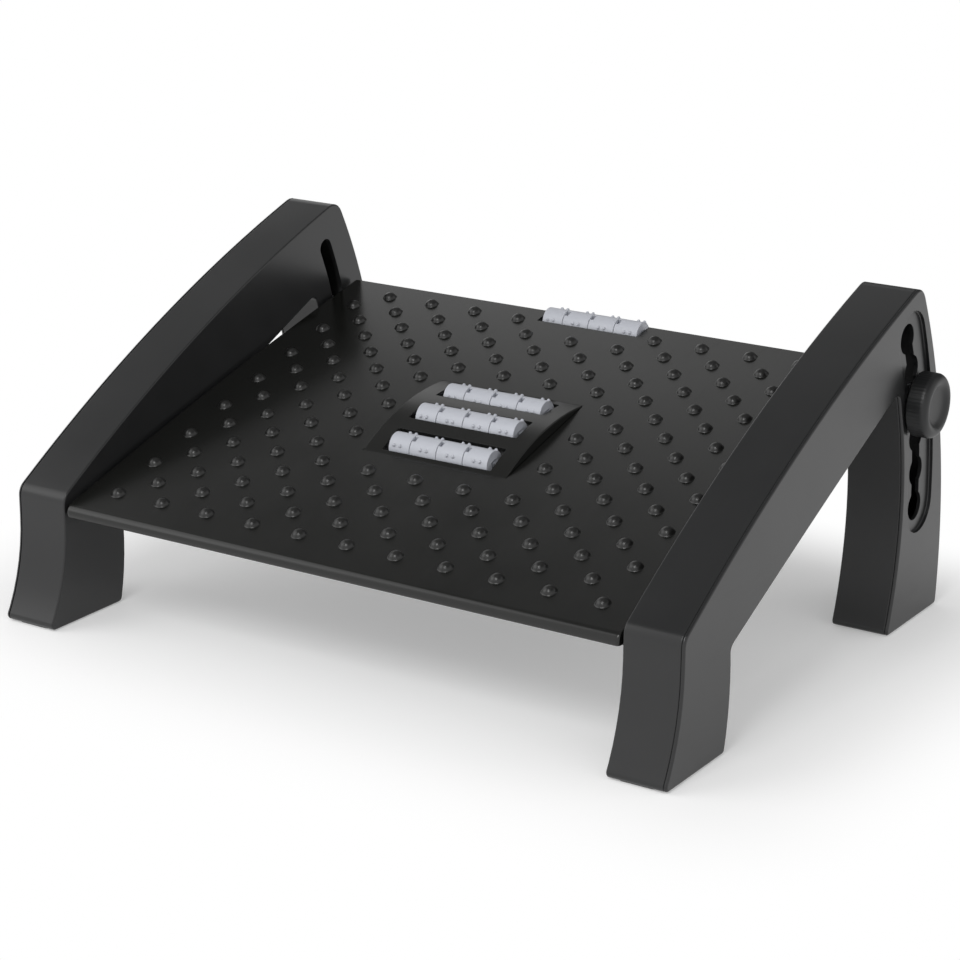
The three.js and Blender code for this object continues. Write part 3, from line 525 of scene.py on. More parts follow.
def moulded(name, dark, light, rough, grain=0.03):
    """Moulded plastic: fine spark texture, slow colour and gloss changes, softened edges."""
    n = Nodes(name)
    slow = n.noise(18, 4)
    fine = n.noise(2200, 2)
    marks = n.noise(260, 5, stretch=(1, 0.12, 0.5))
    n.put(n.mix(n.between(slow, 0, 1), rgb(*dark), rgb(*light)), n.shader.inputs["Base Color"])
    gloss = n.add("ShaderNodeMath", operation="ADD")
    n.put(n.between(slow, rough[0], rough[1]), gloss.inputs[0])
    n.put(n.between(marks, 0, 0.03, 0.55, 0.75), gloss.inputs[1])
    n.put(gloss.outputs[0], n.shader.inputs["Roughness"])
    n.put(n.bump(fine, grain, GRAIN_DEPTH, n.soft_edges(MOULDED_EDGE)), n.shader.inputs["Normal"])
    return n.material


def metal(name, color, rough, brushed=(1, 1, 1)):
    n = Nodes(name)
    lines = n.noise(900, 3, stretch=brushed)
    slow = n.noise(60, 2)
    n.put(n.mix(n.between(slow, 0, 1), rgb(*color), rgb(*(0.86 * c for c in color))),
          n.shader.inputs["Base Color"])
    n.put(1.0, n.shader.inputs["Metallic"])
    n.put(n.between(lines, rough[0], rough[1]), n.shader.inputs["Roughness"])
    n.put(n.bump(lines, 0.1, GRAIN_DEPTH, n.soft_edges(METAL_EDGE)), n.shader.inputs["Normal"])
    return n.material


def rubber():
    n = Nodes("rubber")
    grain = n.noise(1100, 4)
    n.put(n.mix(n.between(grain, 0, 1), rgb(0.012, 0.012, 0.012), rgb(0.022, 0.022, 0.021)),
          n.shader.inputs["Base Color"])
    n.put(n.between(grain, 0.75, 0.92), n.shader.inputs["Roughness"])
    n.put(n.bump(grain, 0.5, 0.0002), n.shader.inputs["Normal"])
    return n.material


# Each plastic: its name, darker and lighter colour, and least and greatest roughness
FRAME_BLACK = moulded(
    "frame_black", (0.0125, 0.0128, 0.0132), (0.0150, 0.0153, 0.0158), (0.28, 0.33))
DECK_BLACK = moulded(
    "deck_black", (0.0048, 0.0050, 0.0043), (0.0064, 0.0066, 0.0057), (0.20, 0.24))
BUMP_BLACK = moulded(
    "bump_black", (0.0070, 0.0070, 0.0066), (0.0090, 0.0090, 0.0086), (0.28, 0.33))
KNOB_BLACK = moulded(
    "knob_black", (0.0050, 0.0055, 0.0060), (0.0080, 0.0085, 0.0090), (0.40, 0.48))
ROLLER_GREY = moulded(
    "roller_grey", (0.445, 0.460, 0.505), (0.490, 0.505, 0.550), (0.36, 0.44))
NYLON = moulded("nylon", (0.66, 0.65, 0.61), (0.74, 0.73, 0.69), (0.45, 0.55), 0.05)
STEEL = metal("steel", (0.62, 0.63, 0.65), (0.24, 0.40))
ROD_STEEL = metal("rod_steel", (0.60, 0.61, 0.63), (0.22, 0.38), (0.05, 1, 1))
RUBBER = rubber()


# Side frames

def frame_shell(side):
    stations = edge_stations(INNER, SEAM - SEAM_GAP, EDGE, SEAM_EDGE)
    shell = along_x(side_outline, stations, side_view, side)
    hollow = along_x(
        lambda _: side_outline(FRAME_WALL), [(INNER + FRAME_WALL, 0), (OUTER, 0)], side_view, side)
    inner_slot = along_x(
        lambda _: curved_slot(LOCK, INNER_SLOT_HALF, 0, NOTCHES[-1]),
        [(x, 0) for x in INNER_SLOT_CUT], side_view, side)
    bore = rod(BORE_CUT, BORE, *PIVOT, side_view, side)
    boss = turned([
        (BOSS_START, BOSS_RADIUS), (BOSS_END, BOSS_RADIUS), (BOSS_END, BORE), (BOSS_START, BORE),
    ], *PIVOT, side_view, side)
    return joined([cut(shell, hollow, inner_slot, bore), boss])


def lock_cutters(side):
    """The recess, the channel through its floor and the six round seats."""
    outside = OUTER + OVERRUN
    pocket = along_x(
        lambda inset: curved_slot(RECESS_RADIUS, RECESS_HALF, RECESS_START, RECESS_END, inset),
        [(RECESS_FLOOR, RECESS_EDGE), (RECESS_FLOOR + RECESS_EDGE, 0), (outside, 0)],
        side_view, side)
    channel = along_x(
        lambda _: curved_slot(
            LOCK, CHANNEL_HALF, -CHANNEL_SPREAD, NOTCHES[-1] + CHANNEL_SPREAD),
        [(WALL_INSIDE - OVERRUN, 0), (outside, 0)], side_view, side)
    seats = [
        rod((WALL_INSIDE - OVERRUN, outside), SEAT_RADIUS,
            *(PIVOT + LOCK * Vector((math.cos(a), math.sin(a)))), side_view, side)
        for a in NOTCHES
    ]
    return [pocket, channel, *seats]


def frame_cover(side):
    stations = edge_stations(SEAM, OUTER, COVER_SEAM_EDGE, COVER_EDGE)
    plate = along_x(side_outline, stations, side_view, side)
    wall = along_x(
        lambda _: curved_slot(
            RECESS_RADIUS, RECESS_HALF + RECESS_WALL, RECESS_START, RECESS_END),
        [(WALL_INSIDE, 0), (SEAM, 0)], side_view, side)
    return joined([cut(plate, *lock_cutters(side)), cut(wall, *lock_cutters(side))])


def foot_pad(side, y):
    across = sorted((side * (INNER + PAD_MARGIN), side * (SEAM - PAD_MARGIN)))
    return along_h(
        lambda inset: rectangle(across, y, PAD_CORNER, inset),
        edge_stations(0, PAD_THICK, PAD_EDGE, 0, 2), side_view)


def rod_clip(side):
    clip = turned([
        (CLIP_BACK, CLIP_BORE), (CLIP_BACK, CLIP_RADIUS), (CLIP_FRONT, CLIP_RADIUS),
        (CLIP_FRONT, CLIP_BORE), (CLIP_BACK, CLIP_BORE),
    ], *PIVOT, side_view, side)
    mouth = box(
        (-OUTER, OUTER), (PIVOT.x - CLIP_MOUTH_HALF, PIVOT.x + CLIP_MOUTH_HALF),
        (PIVOT.y - CLIP_RADIUS - OVERRUN, PIVOT.y), side_view)
    return cut(clip, mouth)


def ring(span, radius, y, z, place, side):
    """A washer or a sleeve on a shank, with its outer edges taken off."""
    return turned([
        (span[0], BORE), (span[0], radius - RING_EDGE), (span[0] + RING_EDGE, radius),
        (span[1] - RING_EDGE, radius), (span[1], radius - RING_EDGE), (span[1], BORE),
        (span[0], BORE),
    ], y, z, place, side)


# Deck

def deck_columns():
    quarter = [math.sin(math.radians(a)) for a in range(0, 91, 15)]
    corner = [HALF_WIDTH - CORNER + CORNER * q for q in quarter]
    edge = [HALF_WIDTH - EASED + EASED * q for q in quarter]
    right = sorted({round(x, 4) for x in [*FLAT_COLUMNS, *corner, *edge]})
    return [-x for x in right[:0:-1]] + right


def quarter_drop(radius, x):
    """How far a quarter round of this radius has fallen at x, near the deck's side."""
    past = max(abs(x) - HALF_WIDTH + radius, 0)
    return radius - math.sqrt(radius ** 2 - past ** 2)


def deck_column(x):
    """The plate's outline at x, with its nose, rounded corners and eased side edges."""
    short, drop = quarter_drop(CORNER, x), quarter_drop(EASED, x)
    lip = LIP + short
    front, back = lip + NOSE, BEHIND - short
    along = [back + (front - back) * i / DECK_ROWS for i in range(DECK_ROWS)]
    top = [Vector((v, deck_top(v) - drop)) for v in along]
    nose_top = deck_top(front)
    turns = [math.pi / 2 * i / NOSE_STEPS for i in range(NOSE_STEPS)]
    tip = [(front - NOSE * math.sin(a), min(NOSE * (math.cos(a) - 1), -drop)) for a in turns]
    tip += [(lip + behind, h) for behind, h in NOSE_FOOT]
    tip = [Vector((v, nose_top + h)) for v, h in tip]
    lip_back = lip + LIP_DEPTH
    under = [lip_back + (back - lip_back) * i / DECK_ROWS for i in range(DECK_ROWS + 1)]
    lower = [Vector((v, deck_top(v) - PLATE)) for v in under]
    return [*top, *tip, Vector((lip_back, tip[-1].y)), *lower]


def deck_plate():
    rings = [[(x, p.x, p.y) for p in deck_column(x)] for x in deck_columns()]
    plate = loft(rings, on_deck)
    pocket = box((-BRIDGE_HALF - FIT, BRIDGE_HALF + FIT), (BRIDGE_FRONT - FIT, BRIDGE_BACK + FIT),
                 (0, CUT_HIGH), on_deck)
    notch = box((-REAR_SLOT_HALF, REAR_SLOT_HALF), (NOTCH_FRONT, BEHIND + OVERRUN),
                (CUT_LOW, CUT_HIGH), on_deck)
    return cut(plate, pocket, notch)


def skirt(side):
    """The wall under the deck's side and rear edges, up to the rear notch."""
    turn = Vector((HALF_WIDTH - SKIRT_CORNER, BEHIND - SKIRT_CORNER))
    along = (SKIRT_AHEAD + (turn.y - SKIRT_AHEAD) * i / RIB_STEPS for i in range(RIB_STEPS))
    path = [Vector((HALF_WIDTH, v)) for v in along]
    path += arc(turn, SKIRT_CORNER, 0, math.pi / 2, SKIRT_CORNER_STEPS)
    path += [Vector((turn.x, BEHIND)), Vector((REAR_SLOT_HALF, BEHIND))]
    rings = []
    for i, at in enumerate(path):
        before, after = path[max(i - 1, 0)], path[min(i + 1, len(path) - 1)]
        ahead = (after - before).normalized()
        inner = at + Vector((-ahead.y, ahead.x)) * RIB
        rings.append([
            (side * at.x, at.y, SKIRT), (side * at.x, at.y, deck_top(at.y) - PLATE),
            (side * inner.x, inner.y, deck_top(inner.y) - PLATE), (side * inner.x, inner.y, SKIRT),
        ])
    return loft(rings, on_deck)


def long_rib(x):
    front, back, low = SKIRT_AHEAD + RIB / 2, BEHIND - RIB / 2, SKIRT + SINK
    steps = [front + (back - front) * i / RIB_STEPS for i in range(RIB_STEPS + 1)]
    shape = [Vector((front, low)), Vector((back, low))]
    shape += [Vector((v, deck_top(v) - PLATE)) for v in steps[::-1]]
    rib = along_x(lambda _: shape, [(x - RIB / 2, 0), (x + RIB / 2, 0)], on_deck)
    boss = rod((x - RIB_BOSS_HALF, x + RIB_BOSS_HALF), RIB_BOSS_RADIUS, 0, 0, on_deck,
               edge=RIB_BOSS_EDGE)
    reach = RIB_BOSS_HALF + OVERRUN
    bore = rod((x - reach, x + reach), BORE, 0, 0, on_deck)
    return cut(boolean(rib, "UNION", boss), bore)


def cross_rib(v, low):
    reach = HALF_WIDTH - RIB
    return box((-reach, reach), (v, v + RIB), (low, deck_top(v) - PLATE), on_deck)


def pocket_ledge():
    margin = RIB + FIT
    ledge = box((-BRIDGE_HALF - margin, BRIDGE_HALF + margin),
                (BRIDGE_FRONT - margin, BRIDGE_BACK + margin),
                (BRIDGE_BASE - PLATE, deck_top(BRIDGE_FRONT) - LEDGE_BELOW), on_deck)
    pocket = box((-BRIDGE_HALF - FIT, BRIDGE_HALF + FIT), (BRIDGE_FRONT - FIT, BRIDGE_BACK + FIT),
                 (BRIDGE_BASE - FIT, CUT_HIGH), on_deck)
    half = BRIDGE_HALF - OPENING_MARGIN
    opening = box((-half, half), OPENING, (CUT_LOW, CUT_HIGH), on_deck)
    return cut(ledge, pocket, opening)


def side_boss(side, span, radius, v):
    return turned([(span[0], BORE), (span[0], radius), (span[1], radius), (span[1], BORE),
                   (span[0], BORE)], v, 0, on_deck, side)


def snap_seat(v, h, x):
    hole = rod(x, SNAP_RADIUS, v, h, on_deck, sides=24)
    mouth = box(x, (v - SNAP_MOUTH_HALF, v + SNAP_MOUTH_HALF), (h - SNAP_MOUTH_DEEP, h), on_deck)
    return [hole, mouth]


def rear_ear(side):
    v, h, slot = ROLLERS["rear"]
    span = sorted((side * slot, side * (slot + SEAT_WALL)))
    low, top = h - SEAT_BELOW, deck_top(v) - PLATE
    ear = box(span, (v - EAR_AHEAD, BEHIND - RIB), (low, top), on_deck)
    return cut(ear, *snap_seat(v, h, (span[0] - OVERRUN, span[1] + OVERRUN)))


def deck():
    spacing = HALF_WIDTH / RIB_BAYS
    crossing = (BRIDGE_FRONT - CROSS_RIB_GAP, BRIDGE_BACK + CROSS_RIB_GAP)
    parts = [deck_plate(), skirt(1), skirt(-1), pocket_ledge()]
    parts += [long_rib(n * spacing) for n in range(1 - RIB_BAYS, RIB_BAYS) if n]
    parts += [cross_rib(SKIRT_AHEAD, SKIRT)]
    parts += [cross_rib(v, deck_top(v) - PLATE - CROSS_RIB) for v in crossing]
    for side in (-1, 1):
        parts.append(side_boss(side, (DECK_BOSS_START, DECK_BOSS_END), RIB_BOSS_RADIUS, 0))
        parts.append(side_boss(side, (LOCK_BOSS_START, DECK_BOSS_END), LOCK_BOSS_RADIUS, LOCK))
        parts.append(rear_ear(side))
    return joined(parts)


def bump_places():
    """A staggered field that leaves the bridge and the rear notch free."""
    for row in range(BUMP_ROWS):
        v = row * ROW_PITCH + FIRST_ROW
        shift = COLUMN_PITCH / 2 if row % 2 else 0
        for i in range(-BUMP_COLUMNS, BUMP_COLUMNS + 1):
            x = i * COLUMN_PITCH + shift
            beside_bridge = abs(x) > BRIDGE_HALF + BUMP_MARGIN
            off_bridge = v < BRIDGE_FRONT - BUMP_MARGIN or v > BRIDGE_BACK + BUMP_MARGIN
            off_notch = abs(x) > REAR_SLOT_HALF + BUMP_MARGIN or v < NOTCH_FRONT - BUMP_MARGIN
            if abs(x) < BUMP_REACH and (beside_bridge or off_bridge) and off_notch:
                yield x, v


def deck_bumps():
    """Round domes with a small fillet where each meets the deck."""
    sphere = (BUMP_RADIUS ** 2 + BUMP_HEIGHT ** 2) / (2 * BUMP_HEIGHT)
    reach = math.asin(BUMP_RADIUS / sphere)
    profile = [(BUMP_RADIUS + out, up) for out, up in BUMP_FOOT]
    profile += [
        (sphere * math.sin(reach * t), sphere * (math.cos(reach * t) - 1) + BUMP_HEIGHT)
        for t in BUMP_RINGS
    ]
    points, faces = [], []
    sides = BUMP_SIDES
    for x, v in bump_places():
        base = len(points)
        for radius, height in profile:
            ring_points = circle((x, v), radius, sides)
            points += [on_deck(p.x, p.y, deck_top(v) + height) for p in ring_points]
        points.append(on_deck(x, v, deck_top(v) + BUMP_HEIGHT))
        for k in range(len(profile) - 1):
            a, b = base + k * sides, base + (k + 1) * sides
            for i in range(sides):
                j = (i + 1) % sides
                faces.append((a + i, a + j, b + j, b + i))
        top = base + (len(profile) - 1) * sides
        faces += [(top + i, top + (i + 1) % sides, len(points) - 1) for i in range(sides)]
    return mesh_object("deck_bumps", points, faces)


# Roller bridge

def under_arc(front, back, low, inset, steps):
    """The flat base from front to back and the bridge's top above it, less the inset."""
    run = [back + (front - back) * i / steps for i in range(steps + 1)]
    shape = [Vector((front, low)), Vector((back, low))]
    return shape + [Vector((v, bridge_top(v) - inset)) for v in run]


def bridge_shape(inset):
    return under_arc(BRIDGE_FRONT + inset, BRIDGE_BACK - inset, BRIDGE_BASE, inset, BRIDGE_STEPS)


def bridge():
    stations = edge_stations(-BRIDGE_HALF, BRIDGE_HALF, BRIDGE_EDGE, BRIDGE_EDGE)
    shell = along_x(bridge_shape, stations, on_deck)
    half = BRIDGE_HALF - BRIDGE_WALL
    inside = under_arc(
        BRIDGE_FRONT + BRIDGE_WALL, BRIDGE_BACK - BRIDGE_WALL, BRIDGE_BASE - HOLLOW_BELOW,
        BRIDGE_WALL, UNDER_STEPS)
    hollow = along_x(lambda _: inside, [(-half, 0), (half, 0)], on_deck)
    slots = [roller_slot(v, h) for v, h, _ in BRIDGE_ROLLERS]
    parts = [cut(shell, hollow, *slots)]
    steps = (-ROLLER_PITCH / 2, ROLLER_PITCH / 2)
    parts += [bridge_web(ROLLERS["middle"][0] + step) for step in steps]
    for side in (-1, 1):
        parts.append(cradle(side))
        parts += [screw_boss(side, v) for v in SCREW_ROWS]
    return joined(parts)


def roller_slot(v, h):
    across, along = (-SLOT_HALF, SLOT_HALF), (v - SLOT_WIDE, v + SLOT_WIDE)
    return along_h(
        lambda _: rectangle(across, along, SLOT_CORNER),
        [(BRIDGE_BASE, 0), (h + SLOT_CUT_HIGH, 0)], on_deck)


def bridge_web(v):
    """A stiffening wall under the bridge between two rollers."""
    return box((-SLOT_HALF, SLOT_HALF), (v - WEB_HALF, v + WEB_HALF),
               (CRADLE_LOW, bridge_top(v) - BRIDGE_WALL + SINK), on_deck)


def cradle(side):
    shape = under_arc(OPENING[0] + FIT, OPENING[1] - FIT, CRADLE_LOW, BRIDGE_WALL, UNDER_STEPS)
    span = sorted((side * SLOT_HALF, side * (SLOT_HALF + SEAT_WALL)))
    wall = along_x(lambda _: shape, [(span[0], 0), (span[1], 0)], on_deck)
    through = (span[0] - OVERRUN, span[1] + OVERRUN)
    seats = [piece for v, h, _ in BRIDGE_ROLLERS for piece in snap_seat(v, h, through)]
    return cut(wall, *seats)


def screw_boss(side, v):
    ring_points = circle((side * SCREW_X, v), SCREW_BOSS_RADIUS, 24)
    top = bridge_top(v) - BRIDGE_WALL + SINK
    return loft([[(p.x, p.y, h) for p in ring_points] for h in (BRIDGE_BASE, top)], on_deck)


def bridge_screw(x, v):
    """A pan head with a cross recess, seen from below the deck."""
    top = BRIDGE_BASE - PLATE - FIT
    profile = [(top + SCREW_SHANK_LENGTH, SCREW_SHANK), (top, SCREW_SHANK)]
    profile += [(top - down, radius) for down, radius in SCREW_HEAD]
    rings = [[(p.x, p.y, h) for p in circle((x, v), r, 32)] for h, r in profile]
    screw = loft(rings, on_deck)
    cross = [
        box((x - a, x + a), (v - b, v + b), (top - CROSS_END, top - CROSS_START), on_deck)
        for a, b in ((CROSS_LONG_HALF, CROSS_THIN_HALF), (CROSS_THIN_HALF, CROSS_LONG_HALF))
    ]
    return cut(screw, *cross)


# Rollers, made about their own axis and then set in their places

def leaned(x, angle, radius):
    """A point at radius above the axis, leaned to the front by the angle in degrees."""
    a = math.radians(angle)
    return Vector((x, -math.sin(a) * radius, math.cos(a) * radius))


def nub(x, angle):
    middle = leaned(0, angle, DRUM)
    out = middle.normalized()
    across = Vector((0, out.z, -out.y))
    turn = [2 * math.pi * i / NUB_SIDES for i in range(NUB_SIDES)]
    rings = []
    for radius, height in NUB:
        rings.append([
            middle + out * height + across * radius * math.sin(a)
            + Vector((x + radius * math.cos(a), 0, 0)) for a in turn
        ])
    return loft(rings, free)


def rim_window(x, angle):
    """A cutter for the window at a segment's end, x."""
    out = leaned(0, angle, 1)
    across = Vector((0, out.z, -out.y))
    front, back = x - WINDOW_CUT_AHEAD, x + WINDOW_LENGTH
    corners = [(front, -1), (back, -1), (back, 1), (front, 1)]
    rings = [
        [out * radius + across * WINDOW_HALF * b + Vector((a, 0, 0)) for a, b in corners]
        for radius in (DRUM - WINDOW_DEPTH, DRUM + WINDOW_CUT_OUT)
    ]
    return loft(rings, free)


def segment_mesh(index):
    """A drum with its square bore, its windows and four pairs of nubs."""
    start = -DRUM_LENGTH / 2 + sum(LENGTHS[:index]) + index * FIT
    end = start + LENGTHS[index]
    profile = [(start + along, DRUM - drop) for along, drop in DRUM_EDGE]
    profile += [(end - along, DRUM - drop) for along, drop in DRUM_EDGE[::-1]]
    drum = turned(profile, 0, 0, free, sides=DRUM_SIDES)
    square = (-SQUARE_BORE_HALF, SQUARE_BORE_HALF)
    cutters = [box((start - SQUARE_BORE_CUT, end + SQUARE_BORE_CUT), square, square, free)]
    if index:
        cutters += [rim_window(start, 90 * i + WINDOW_LEAN) for i in range(4)]
    drum = cut(drum, *cutters)
    nubs = []
    for i in range(4):
        near = start + (OUTER_PAIR if i % 2 else INNER_PAIR) - (0 if index else FIRST_SHORT)
        nubs += [nub(near + step, 90 * i - NUB_ROW_LEAN) for step in (0, PAIR_PITCH)]
    return joined([drum, *nubs])


def axle_object(slot):
    square = (-SQUARE_HALF, SQUARE_HALF)
    bar = box((FIT - slot, slot - FIT), square, square, free)
    reach = slot + JOURNAL_LENGTH
    pins = rod((-reach, reach), JOURNAL_RADIUS, 0, 0, free, sides=24, edge=JOURNAL_EDGE)
    return joined([bar, pins])


def place_rollers():
    segments = [segment_mesh(i) for i in range(4)]
    for name, (v, h, slot) in ROLLERS.items():
        body = f"{name}_roller"
        place = Matrix.Translation(on_deck(0, v, h) * MM) @ Matrix.Rotation(TILT, 4, "X")
        axle = axle_object(slot)
        axle.matrix_world = place
        finished(axle, f"{name}_axle", body, [f"{name}_roller_axle"], STEEL)
        for i, made in enumerate(segments):
            piece = bpy.data.objects.new("segment", made.data.copy())
            bpy.context.scene.collection.objects.link(piece)
            piece.matrix_world = place
            node = f"{name}_roller_segment_{i + 1}"
            finished(piece, f"{name}_segment_{i + 1}", body, [node], ROLLER_GREY)
    for made in segments:
        bpy.data.objects.remove(made)


# Tilt lock

def hexagon(span, radius, side, edge=HEX_EDGE):
    rings = [
        [(side * x, p.x, p.y) for p in circle((LOCK, 0), r, 6)]
        for x, r in ((span[0], radius - edge), (span[0] + edge, radius), (span[1], radius))
    ]
    return loft(rings, on_deck)


def clamp_bolt(side):
    head = hexagon(BOLT_HEAD, NUT_RADIUS, side)
    shank = turned([
        (BOLT_SHANK_START, SHANK), (BOLT_END - CHAMFER, SHANK), (BOLT_END, SHANK - CHAMFER),
    ], LOCK, 0, on_deck, side)
    return joined([head, shank])


def clamp_washer(side):
    """The washer and the shoulder that reaches back into the slot."""
    front = CLAMP_BACK + CLAMP_THICK
    rim = WASHER_RADIUS - RING_EDGE
    return turned([
        (CLAMP_TIP, BORE), (CLAMP_TIP, CLAMP_TIP_RADIUS), (CLAMP_BACK, CLAMP_TIP_RADIUS),
        (CLAMP_BACK, rim), (CLAMP_BACK + RING_EDGE, WASHER_RADIUS),
        (front - RING_EDGE, WASHER_RADIUS), (front, rim), (front, BORE), (CLAMP_TIP, BORE),
    ], LOCK, 0, on_deck, side)


def knob_profile():
    """(x, radius, share of the flutes' depth) from the back of the rim to the dish."""
    inner = KNOB_RADIUS - KNOB_ROUND
    front = [
        (KNOB_ROUND_START + KNOB_ROUND * math.sin(a), inner + KNOB_ROUND * math.cos(a),
         max(0, 1 - FLUTE_FADE * a))
        for a in KNOB_TURN
    ]
    return KNOB_REAR + front + [(x, radius, 0) for x, radius in KNOB_DISH]


def knob(side):
    """A fluted rim, a rounded front edge and a shallow dish."""
    turns = [2 * math.pi * i / (FLUTES * FLUTE_STEPS) for i in range(FLUTES * FLUTE_STEPS)]
    rings = []
    for x, radius, share in knob_profile():
        points = []
        for a in turns:
            groove = FLUTE_DEPTH * share * (0.5 - 0.5 * math.cos(a * FLUTES)) ** 1.5
            points.append((side * (KNOB_BACK + x), LOCK + (radius - groove) * math.cos(a),
                           (radius - groove) * math.sin(a)))
        rings.append(points)
    body = loft(rings, on_deck)
    pocket = hexagon(
        (KNOB_BACK - OVERRUN, KNOB_BACK + NUT_POCKET_DEEP), NUT_POCKET_RADIUS, side, 0)
    bore = rod((KNOB_BACK - OVERRUN, BOLT_END + FIT), BORE, LOCK, 0, on_deck, side)
    return cut(body, pocket, bore)


def knob_nut(side):
    nut = hexagon((KNOB_BACK + FIT, KNOB_BACK + FIT + NUT_THICK), NUT_RADIUS, side)
    through = (KNOB_BACK - OVERRUN, KNOB_BACK + NUT_THICK + OVERRUN)
    return cut(nut, rod(through, BORE, LOCK, 0, on_deck, side))


def place_side(name, side):
    parts = {
        "frame_shell": (frame_shell(side), "frames", "frame_plastic", FRAME_BLACK),
        "frame_cover": (frame_cover(side), "frames", "frame_plastic", FRAME_BLACK),
        "front_pad": (foot_pad(side, FRONT_PAD), "frames", "rubber", RUBBER),
        "rear_pad": (foot_pad(side, REAR_PAD), "frames", "rubber", RUBBER),
        "rod_clip": (rod_clip(side), "frames", "steel", STEEL),
        "pivot_washer": (
            ring((HALF_WIDTH + FIT, INNER - FIT), PIVOT_WASHER_RADIUS, *PIVOT, side_view, side),
            "frames", "nylon", NYLON),
        "clamp_bolt": (clamp_bolt(side), "platform", "steel", STEEL),
        "sleeve": (
            ring((HALF_WIDTH + FIT, SLEEVE_END), SLEEVE_RADIUS, LOCK, 0, on_deck, side),
            "platform", "steel", ROD_STEEL),
        "inner_washer": (
            ring(INNER_WASHER, WASHER_RADIUS, LOCK, 0, on_deck, side),
            "platform", "steel", STEEL),
        "clamp_washer": (clamp_washer(side), f"{name}_clamp", "steel", STEEL),
        "knob": (knob(side), f"{name}_handwheel", "knob_plastic", KNOB_BLACK),
        "knob_nut": (knob_nut(side), f"{name}_handwheel", "steel", STEEL),
    }
    for part, (obj, body, slot, material) in parts.items():
        finished(obj, f"{name}_{part}_look", body, [f"{name}_{part}"], material)


def pivot_rod():
    half = [
        (0, SHANK), (BOSS_END, SHANK), (BOSS_END, GROOVE_RADIUS), (GROOVE_END, GROOVE_RADIUS),
        (GROOVE_END, SHANK), (ROD_END - CHAMFER, SHANK), (ROD_END, SHANK - CHAMFER),
    ]
    profile = [(-x, r) for x, r in half[:0:-1]] + half
    return turned(profile, *PIVOT, side_view)


place_side("left", -1)
place_side("right", 1)
place_rollers()
finished(pivot_rod(), "pivot_rod_look", "frames", ["pivot_rod"], ROD_STEEL)
finished(deck(), "deck", "platform", ["platform_deck"], DECK_BLACK)
finished(deck_bumps(), "deck_bumps", "platform", ["platform_deck"], BUMP_BLACK, 80)
finished(bridge(), "bridge", "platform", ["roller_bridge"], DECK_BLACK)
screw_places = [(x, v) for x in (-SCREW_X, SCREW_X) for v in SCREW_ROWS]
for i, (x, v) in enumerate(screw_places):
    node = f"bridge_screw_{i + 1}"
    finished(bridge_screw(x, v), f"{node}_look", "platform", [node], STEEL)


# Camera

LENS, SENSOR = 99.8, 36
CAMERA_PLACE = (844.56, -1127.75, 586.81)
AZIMUTH, ELEVATION, ROLL = (math.radians(degrees) for degrees in (32.875, 17.861, 0.349))


def add_camera():
    """The camera that took the photograph, as solved from it."""
    data = bpy.data.cameras.new("camera")
    data.lens = LENS
    data.sensor_width = SENSOR
    data.clip_end = 20
    camera = bpy.data.objects.new("camera", data)
    bpy.context.scene.collection.objects.link(camera)
    bpy.context.scene.camera = camera
    away = Vector((math.sin(AZIMUTH), -math.cos(AZIMUTH), 0)) * math.cos(ELEVATION)
    back = away + Vector((0, 0, math.sin(ELEVATION)))
    level = Vector((math.cos(AZIMUTH), math.sin(AZIMUTH), 0))
    upright = back.cross(level)
    right = level * math.cos(ROLL) + upright * math.sin(ROLL)
    up = upright * math.cos(ROLL) - level * math.sin(ROLL)
    turned_to = Matrix((right, up, back)).transposed().to_4x4()
    camera.matrix_world = Matrix.Translation(side_view(*CAMERA_PLACE) * MM) @ turned_to


# Floor, world and lamps

FLOOR_REACH = 30
FLOOR_WHITE = 0.80
# The floor's own light, where the camera or a reflection sees it, near the object. Past
# the reach of its shadow it turns white.
FLOOR_GLOW = 0.27
FOOTPRINT = (0.246, 0.174, 0)
SHADOW_REACH = 0.115
SKY_LIGHT = 1.15
# The height of a direction and how bright the surroundings are there
SKY_STEPS = (
    (0.30, 1.0), (0.57, 0.83), (0.64, 0.66), (0.68, 0.40), (0.75, 0.31), (0.86, 0.20), (1.0, 0.40),
)
# The dark parts of the surroundings: direction, how near to it the dimming starts and is
# full, as cosines, and the brightness left there
DARK_PARTS = (
    ((0.050, 0.987, 0.151), 0.70, 0.88, 0.15),
    ((-0.5865, 0.475, 0.656), 0.985, 0.998, 0.35),
)


def seen_directly(tree):
    """1 for rays from the camera and for reflected and refracted ones, else 0."""
    path = tree.nodes.new("ShaderNodeLightPath")
    seen = path.outputs["Is Camera Ray"]
    for kind in ("Is Glossy Ray", "Is Transmission Ray"):
        either = tree.nodes.new("ShaderNodeMath")
        either.operation = "MAXIMUM"
        tree.links.new(seen, either.inputs[0])
        tree.links.new(path.outputs[kind], either.inputs[1])
        seen = either.outputs[0]
    return seen


